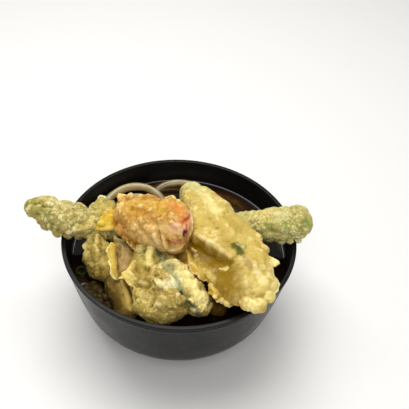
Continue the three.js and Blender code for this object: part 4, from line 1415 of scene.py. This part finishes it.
class UDON_OT_folded_fritter(bpy.types.Operator):
    """Fries the soft folded piece on the left, with its yellow fold and soaked tail"""

    bl_idname = "udon.folded_fritter"
    bl_label = "Folded fritter"

    def execute(self, context):
        material = batter_material("folded_batter", context.scene.udon.folded)
        inner = [[-46, -20, 0], [-44, -26, -0.5], [-43, -34, -1], [-43, -41, -2], [-39.5, -49, -4]]
        fold = [[-50.5, -19, 5], [-52.6, -27, 6.8], [-51.5, -35, 6.8], [-48, -42, 5.2], [-46.5, -48, 2.6],
            [-42, -52, -1]]
        shapes = [
            pod([[-60, -6, -6, 6, 8], [-62.5, -15, -6, 9, 10.5], [-61, -25, -7, 10, 11.5],
                [-56.5, -34, -9, 9.2, 11], [-52.5, -42, -12, 7.5, 9]], 0.3, (8, 2.6)),
            pod([[-56, -13, -4, 6, 7], [-54, -25, -5, 7, 9], [-51.5, -37, -6.5, 7, 9],
                [-47, -46, -10, 7, 8]], 0.35, (9, 2.4)),
            pod([[-51, -8, -11, 7, 8], [-44.5, -18, -8.5, 9.5, 10.5], [-41.5, -29, -9, 10, 10.5],
                [-40, -40, -12, 8.5, 9], [-40, -48, -14.5, 7, 7]], 0.3, (9, 2.4)),
            pod([[-48, -40, -11, 7, 7], [-44, -47, -11.5, 8, 8], [-38, -56, -14.5, 8.5, 7.5],
                [-33.5, -65, -18, 8.5, 6.5], [-30, -72, -21, 8, 5]], 0.2, (14, 0.8)),
            flap(inner, fold, 4, 0.9, 3, 0.3),
            flap([[-65, -8, -4], [-67, -17, -3], [-66, -27, -5]],
                [[-67, -9, 1], [-72.5, -20, 0], [-66, -30, -4]], 3.6, 0.8, 2, 0.3),
            flap([[-61, -9, -2], [-55, -10, -3]], [[-64, -8, 4], [-57.5, -6.5, 4]], 3.4, 0.5, 1, 0.3),
            flap([[-50, -13, -3], [-43, -15, -3], [-38, -20, -3]],
                [[-50, -11.5, 3], [-43.5, -13.5, 2.4], [-37, -18.5, 0.5]], 2.8, 0.7, 2, 0.4),
            *lobes([[-61, -34.5, -5, 4.4, 4.6, 5], [-55.5, -40.5, -7, 4.5, 4.5, 4.5]]),
        ]
        ridges = [
            (-2, 2, [[-57, -12, 4.5], [-56.5, -24, 4.5], [-53.5, -35, 3]]),
            (-1.4, 1.8, [[-65.5, -15, 4], [-64.5, -25, 2.5], [-61, -34, -1.5]]),
            (1.5, 2.2, [[-62, -10, 4.5], [-61.5, -22, 5], [-58.5, -32, 2]]),
            (-1.8, 1.6, [[-44, -22, 2], [-43.5, -32, 1], [-43.5, -41, -1]]),
            (0.6, 1.6, [[-41, -46, -4], [-34, -56, -8], [-29, -67, -12]]),
            (-0.5, 1.6, [[-46, -50, -5], [-41, -59, -9], [-37, -68, -13]]),
            (0.4, 1.4, [[-43, -48, -4], [-37, -57, -8], [-32, -66, -12]]),
        ]
        patches = [
            ((176, 146, 92), 8, 0.85, [[-41, -20, 1], [-39, -29, 0], [-38, -38, -3]]),
            ((190, 168, 92), 4.6, 0.6, [[-57, -12, 4], [-56, -26, 4], [-53, -38, 1]]),
            ((202, 184, 116), 4.4, 0.7, [[-66, -8, 2], [-72, -19, 1], [-69, -29, -3]]),
            ((206, 188, 120), 3.2, 0.7, [[-62, -8, 4], [-50, -12, 3], [-42, -14, 2]]),
            ((212, 180, 80), 5, 1, [[-49, -21, 4.5], [-49, -27, 5], [-48.5, -35, 5], [-46.5, -41, 3.5],
                [-44.5, -48, 0]]),
            # Painted highlight: a thin pale line along the fold's free edge.
            ((244, 228, 152), 1.5, 0.9, fold),
            # Painted shade: brown down the right side, in the dark gap beside the piece.
            ((112, 72, 34), 2.6, 0.8, [[-34, -18, -2], [-31, -26, -3], [-31, -33, -5]]),
            ((108, 84, 28), 13, 0.95, [[-42, -52, -7], [-37, -60, -10], [-32, -69, -14]]),
            ((204, 178, 96), 3.2, 0.85, [[-41, -46, -4], [-34.5, -56, -8], [-29.5, -67, -12]]),
            ((168, 140, 60), 2.4, 0.75, [[-43.5, -48, -4], [-38, -57, -8], [-33, -66, -12]]),
            ((76, 56, 18), 6.5, 0.9, [[-50, -49, -8], [-44, -58, -12], [-40, -68, -16]]),
            ((84, 62, 26), 1.4, 0.95, [[-43, -38, 0]]),
            ((84, 62, 26), 1.2, 0.95, [[-42.5, -42, -2]]),
        ]
        crust = Crust(
            cell=0.44, soften=5, swell=0.9, fold=0.1, fold_size=9,
            lump=0.7, lump_size=5.5, crag=0.55, crag_size=2.8, grain=0.15, polish=2,
        )
        calms = [(12, 0.6, [[-44, -50, -5], [-36, -66, -11]])]
        crusted(
            "folded_fritter_batter", shapes, crust, material, "folded_batter", "folded_fritter",
            ridges=ridges, calms=calms, patches=patches,
        )
        return {"FINISHED"}


class UDON_OT_soaked_batter(bpy.types.Operator):
    """Lays the soaked crumbs and strip of batter in the broth, and the slice of spring onion"""

    bl_idname = "udon.soaked_batter"
    bl_label = "Soaked batter"

    def execute(self, context):
        looks = context.scene.udon
        material = batter_material("soaked_batter", looks.soaked)
        crumbs = [
            pod([[-67, -40, -22, 6, 5], [-62, -48, -21, 9, 6], [-54, -56, -21, 9, 5.5],
                [-45, -64, -22, 6, 4]], 0.3, (6, 5)),
        ]
        crust = Crust(
            cell=0.42, soften=4, swell=0.6, fold=0.4, fold_size=6,
            lump=1, lump_size=4.6, crag=0.5, crag_size=2.4, grain=0.12, polish=2,
        )
        crusted(
            "soaked_crumbs_batter", crumbs, crust, material, "soaked_batter", "soaked_crumbs",
            keep=inside_bowl,
        )
        strip = [
            pod([[18, -38, -18, 6, 5], [23, -44, -17.5, 8, 5.5], [29, -52, -17.5, 9, 6],
                [37, -62, -20, 7.5, 5.5]], 0.35, (8, 2)),
        ]
        smooth = Crust(
            cell=0.42, soften=6, swell=0.6, fold=0.6, fold_size=8,
            lump=0.3, lump_size=4, crag=0.2, crag_size=2, grain=0.1, polish=1,
        )
        crusted(
            "soaked_strip_batter", strip, smooth, batter_material("strip_batter", looks.strip),
            "soaked_batter", "soaked_strip",
            keep=inside_bowl,
        )
        mesh = mesh_of("spring_onion", self.onion())
        finished("spring_onion", mesh, onion_material(looks.onion), "broth", "broth")
        return {"FINISHED"}

    def onion(self):
        """A slice of spring onion: a flattened ring carried round a circle tilted in the broth."""
        turns, sides = 64, 20
        ring_radius, oval, half_width, slant = 3.4, 0.06, 0.85, 14
        middle = np.array([-73, -29, BROTH_Z])
        around = angles(turns)[:, None]
        section = angles(sides)[None, :]
        radius = ring_radius * (1 + oval * np.cos(2 * around)) + half_width * np.cos(section)
        ring = np.stack([radius * np.cos(around), radius * np.sin(around), np.sin(section) + 0 * around], -1)
        tilt = np.array(Matrix.Rotation(math.radians(slant), 3, "X"))
        points = ring.reshape(-1, 3) @ tilt.T + middle
        row, here = np.arange(turns)[:, None] * sides, np.arange(sides)[None, :]
        after, following = (here + 1) % sides, np.roll(row, -1, axis=0)
        quads = np.stack([row + here, following + here, following + after, row + after], -1).reshape(-1, 4)
        return outward(Skin(points, quads, NO_TRIS))


# The camera's place in millimetres from the bowl's axis and its rim, its angles in degrees and its lens.
CAMERA_PLACE = (17.35, -349.25, 358.6)
CAMERA_DOWN = 43.03
CAMERA_ROLL = 4.256
CAMERA_LENS = 56.357
# Half the floor's side in millimetres, and the height in metres that the lights face.
FLOOR_REACH = 9e3
LIT_HEIGHT = 0.07


class UDON_OT_stage(bpy.types.Operator):
    """Sets the pale floor, the soft studio lights and the camera"""

    bl_idname = "udon.stage"
    bl_label = "Stage"

    def execute(self, context):
        look = context.scene.udon.stage
        self.floor(look)
        self.light("key_light", (-0.15, 0.3, 1.15), 0.95, look.key)
        self.light("fill_light", (0.1, -0.8, 0.95), 0.8, look.fill)
        world = bpy.data.worlds.new("studio")
        world.use_nodes = True
        background = world.node_tree.nodes["Background"]
        background.inputs["Color"].default_value = (1, 0.99, 0.97, 1)
        background.inputs["Strength"].default_value = look.sky
        context.scene.world = world
        context.scene.view_settings.view_transform = "Standard"
        self.camera(context.scene)
        return {"FINISHED"}

    def floor(self, look):
        """A flat square floor, wide enough to fill the view from any side."""
        corners = np.array([[-1, -1, 0], [1, -1, 0], [1, 1, 0], [-1, 1, 0]]) * FLOOR_REACH
        floor = linked_object("floor", mesh_of("floor", Skin(corners, np.array([[0, 1, 2, 3]]), NO_TRIS)))
        floor.data.materials.append(Nodes("pale_floor").shaded(Base_Color=look.floor, Roughness=0.7))

    def light(self, name, place, size, power):
        """A square area light that faces the bowl."""
        target = Vector((AXIS_X, AXIS_Y, LIT_HEIGHT))
        data = bpy.data.lights.new(name, "AREA")
        data.size = size
        data.energy = power
        lamp = bpy.data.objects.new(name, data)
        lamp.location = place
        lamp.rotation_euler = (target - Vector(place)).to_track_quat("-Z", "Y").to_euler()
        bpy.context.scene.collection.objects.link(lamp)

    def camera(self, scene):
        """The camera looks down on the bowl along the frame's YZ plane, rolled a little about its view."""
        x, y, rise = CAMERA_PLACE
        place = Vector((x * MM + AXIS_X, y * MM + AXIS_Y, (RIM_Z + rise) * MM))
        down, roll = math.radians(CAMERA_DOWN), math.radians(CAMERA_ROLL)
        data = bpy.data.cameras.new("camera")
        data.sensor_width = 36
        data.lens = CAMERA_LENS
        data.clip_start = 0.01
        camera = bpy.data.objects.new("camera", data)
        turn = Matrix.Rotation(math.pi / 2 - down, 4, "X") @ Matrix.Rotation(roll, 4, "Z")
        camera.matrix_world = Matrix.Translation(place) @ turn
        scene.collection.objects.link(camera)
        scene.camera = camera


class UDON_PT_panel(bpy.types.Panel):
    """The udon bowl's pieces"""

    bl_idname = "UDON_PT_panel"
    bl_label = "Udon Bowl"
    bl_space_type = "VIEW_3D"
    bl_region_type = "UI"
    bl_category = "Udon"

    def draw(self, context):
        for operator in OPERATORS:
            self.layout.operator(operator.bl_idname)


OPERATORS = (
    UDON_OT_bowl,
    UDON_OT_broth,
    UDON_OT_noodles,
    UDON_OT_asparagus,
    UDON_OT_crab_stick,
    UDON_OT_long_fritter,
    UDON_OT_leafy_fritter,
    UDON_OT_folded_fritter,
    UDON_OT_soaked_batter,
    UDON_OT_stage,
)
CLASSES = (
    UdonGreenBatter,
    UdonStalkBatter,
    UdonGoldenBatter,
    UdonPaleBatter,
    UdonLeafyBatter,
    UdonFoldedBatter,
    UdonSoakedBatter,
    UdonStripBatter,
    UdonBowlLook,
    UdonBrothLook,
    UdonNoodleLook,
    UdonOnionLook,
    UdonStageLook,
    UdonSettings,
    *OPERATORS,
    UDON_PT_panel,
)


def register():
    for each in CLASSES:
        bpy.utils.register_class(each)
    bpy.types.Scene.udon = PointerProperty(type=UdonSettings)


def unregister():
    del bpy.types.Scene.udon
    for each in reversed(CLASSES):
        bpy.utils.unregister_class(each)


def main():
    register()
    for operator in OPERATORS:
        group, name = operator.bl_idname.split(".")
        getattr(getattr(bpy.ops, group), name)()


if __name__ == "__main__":
    main()
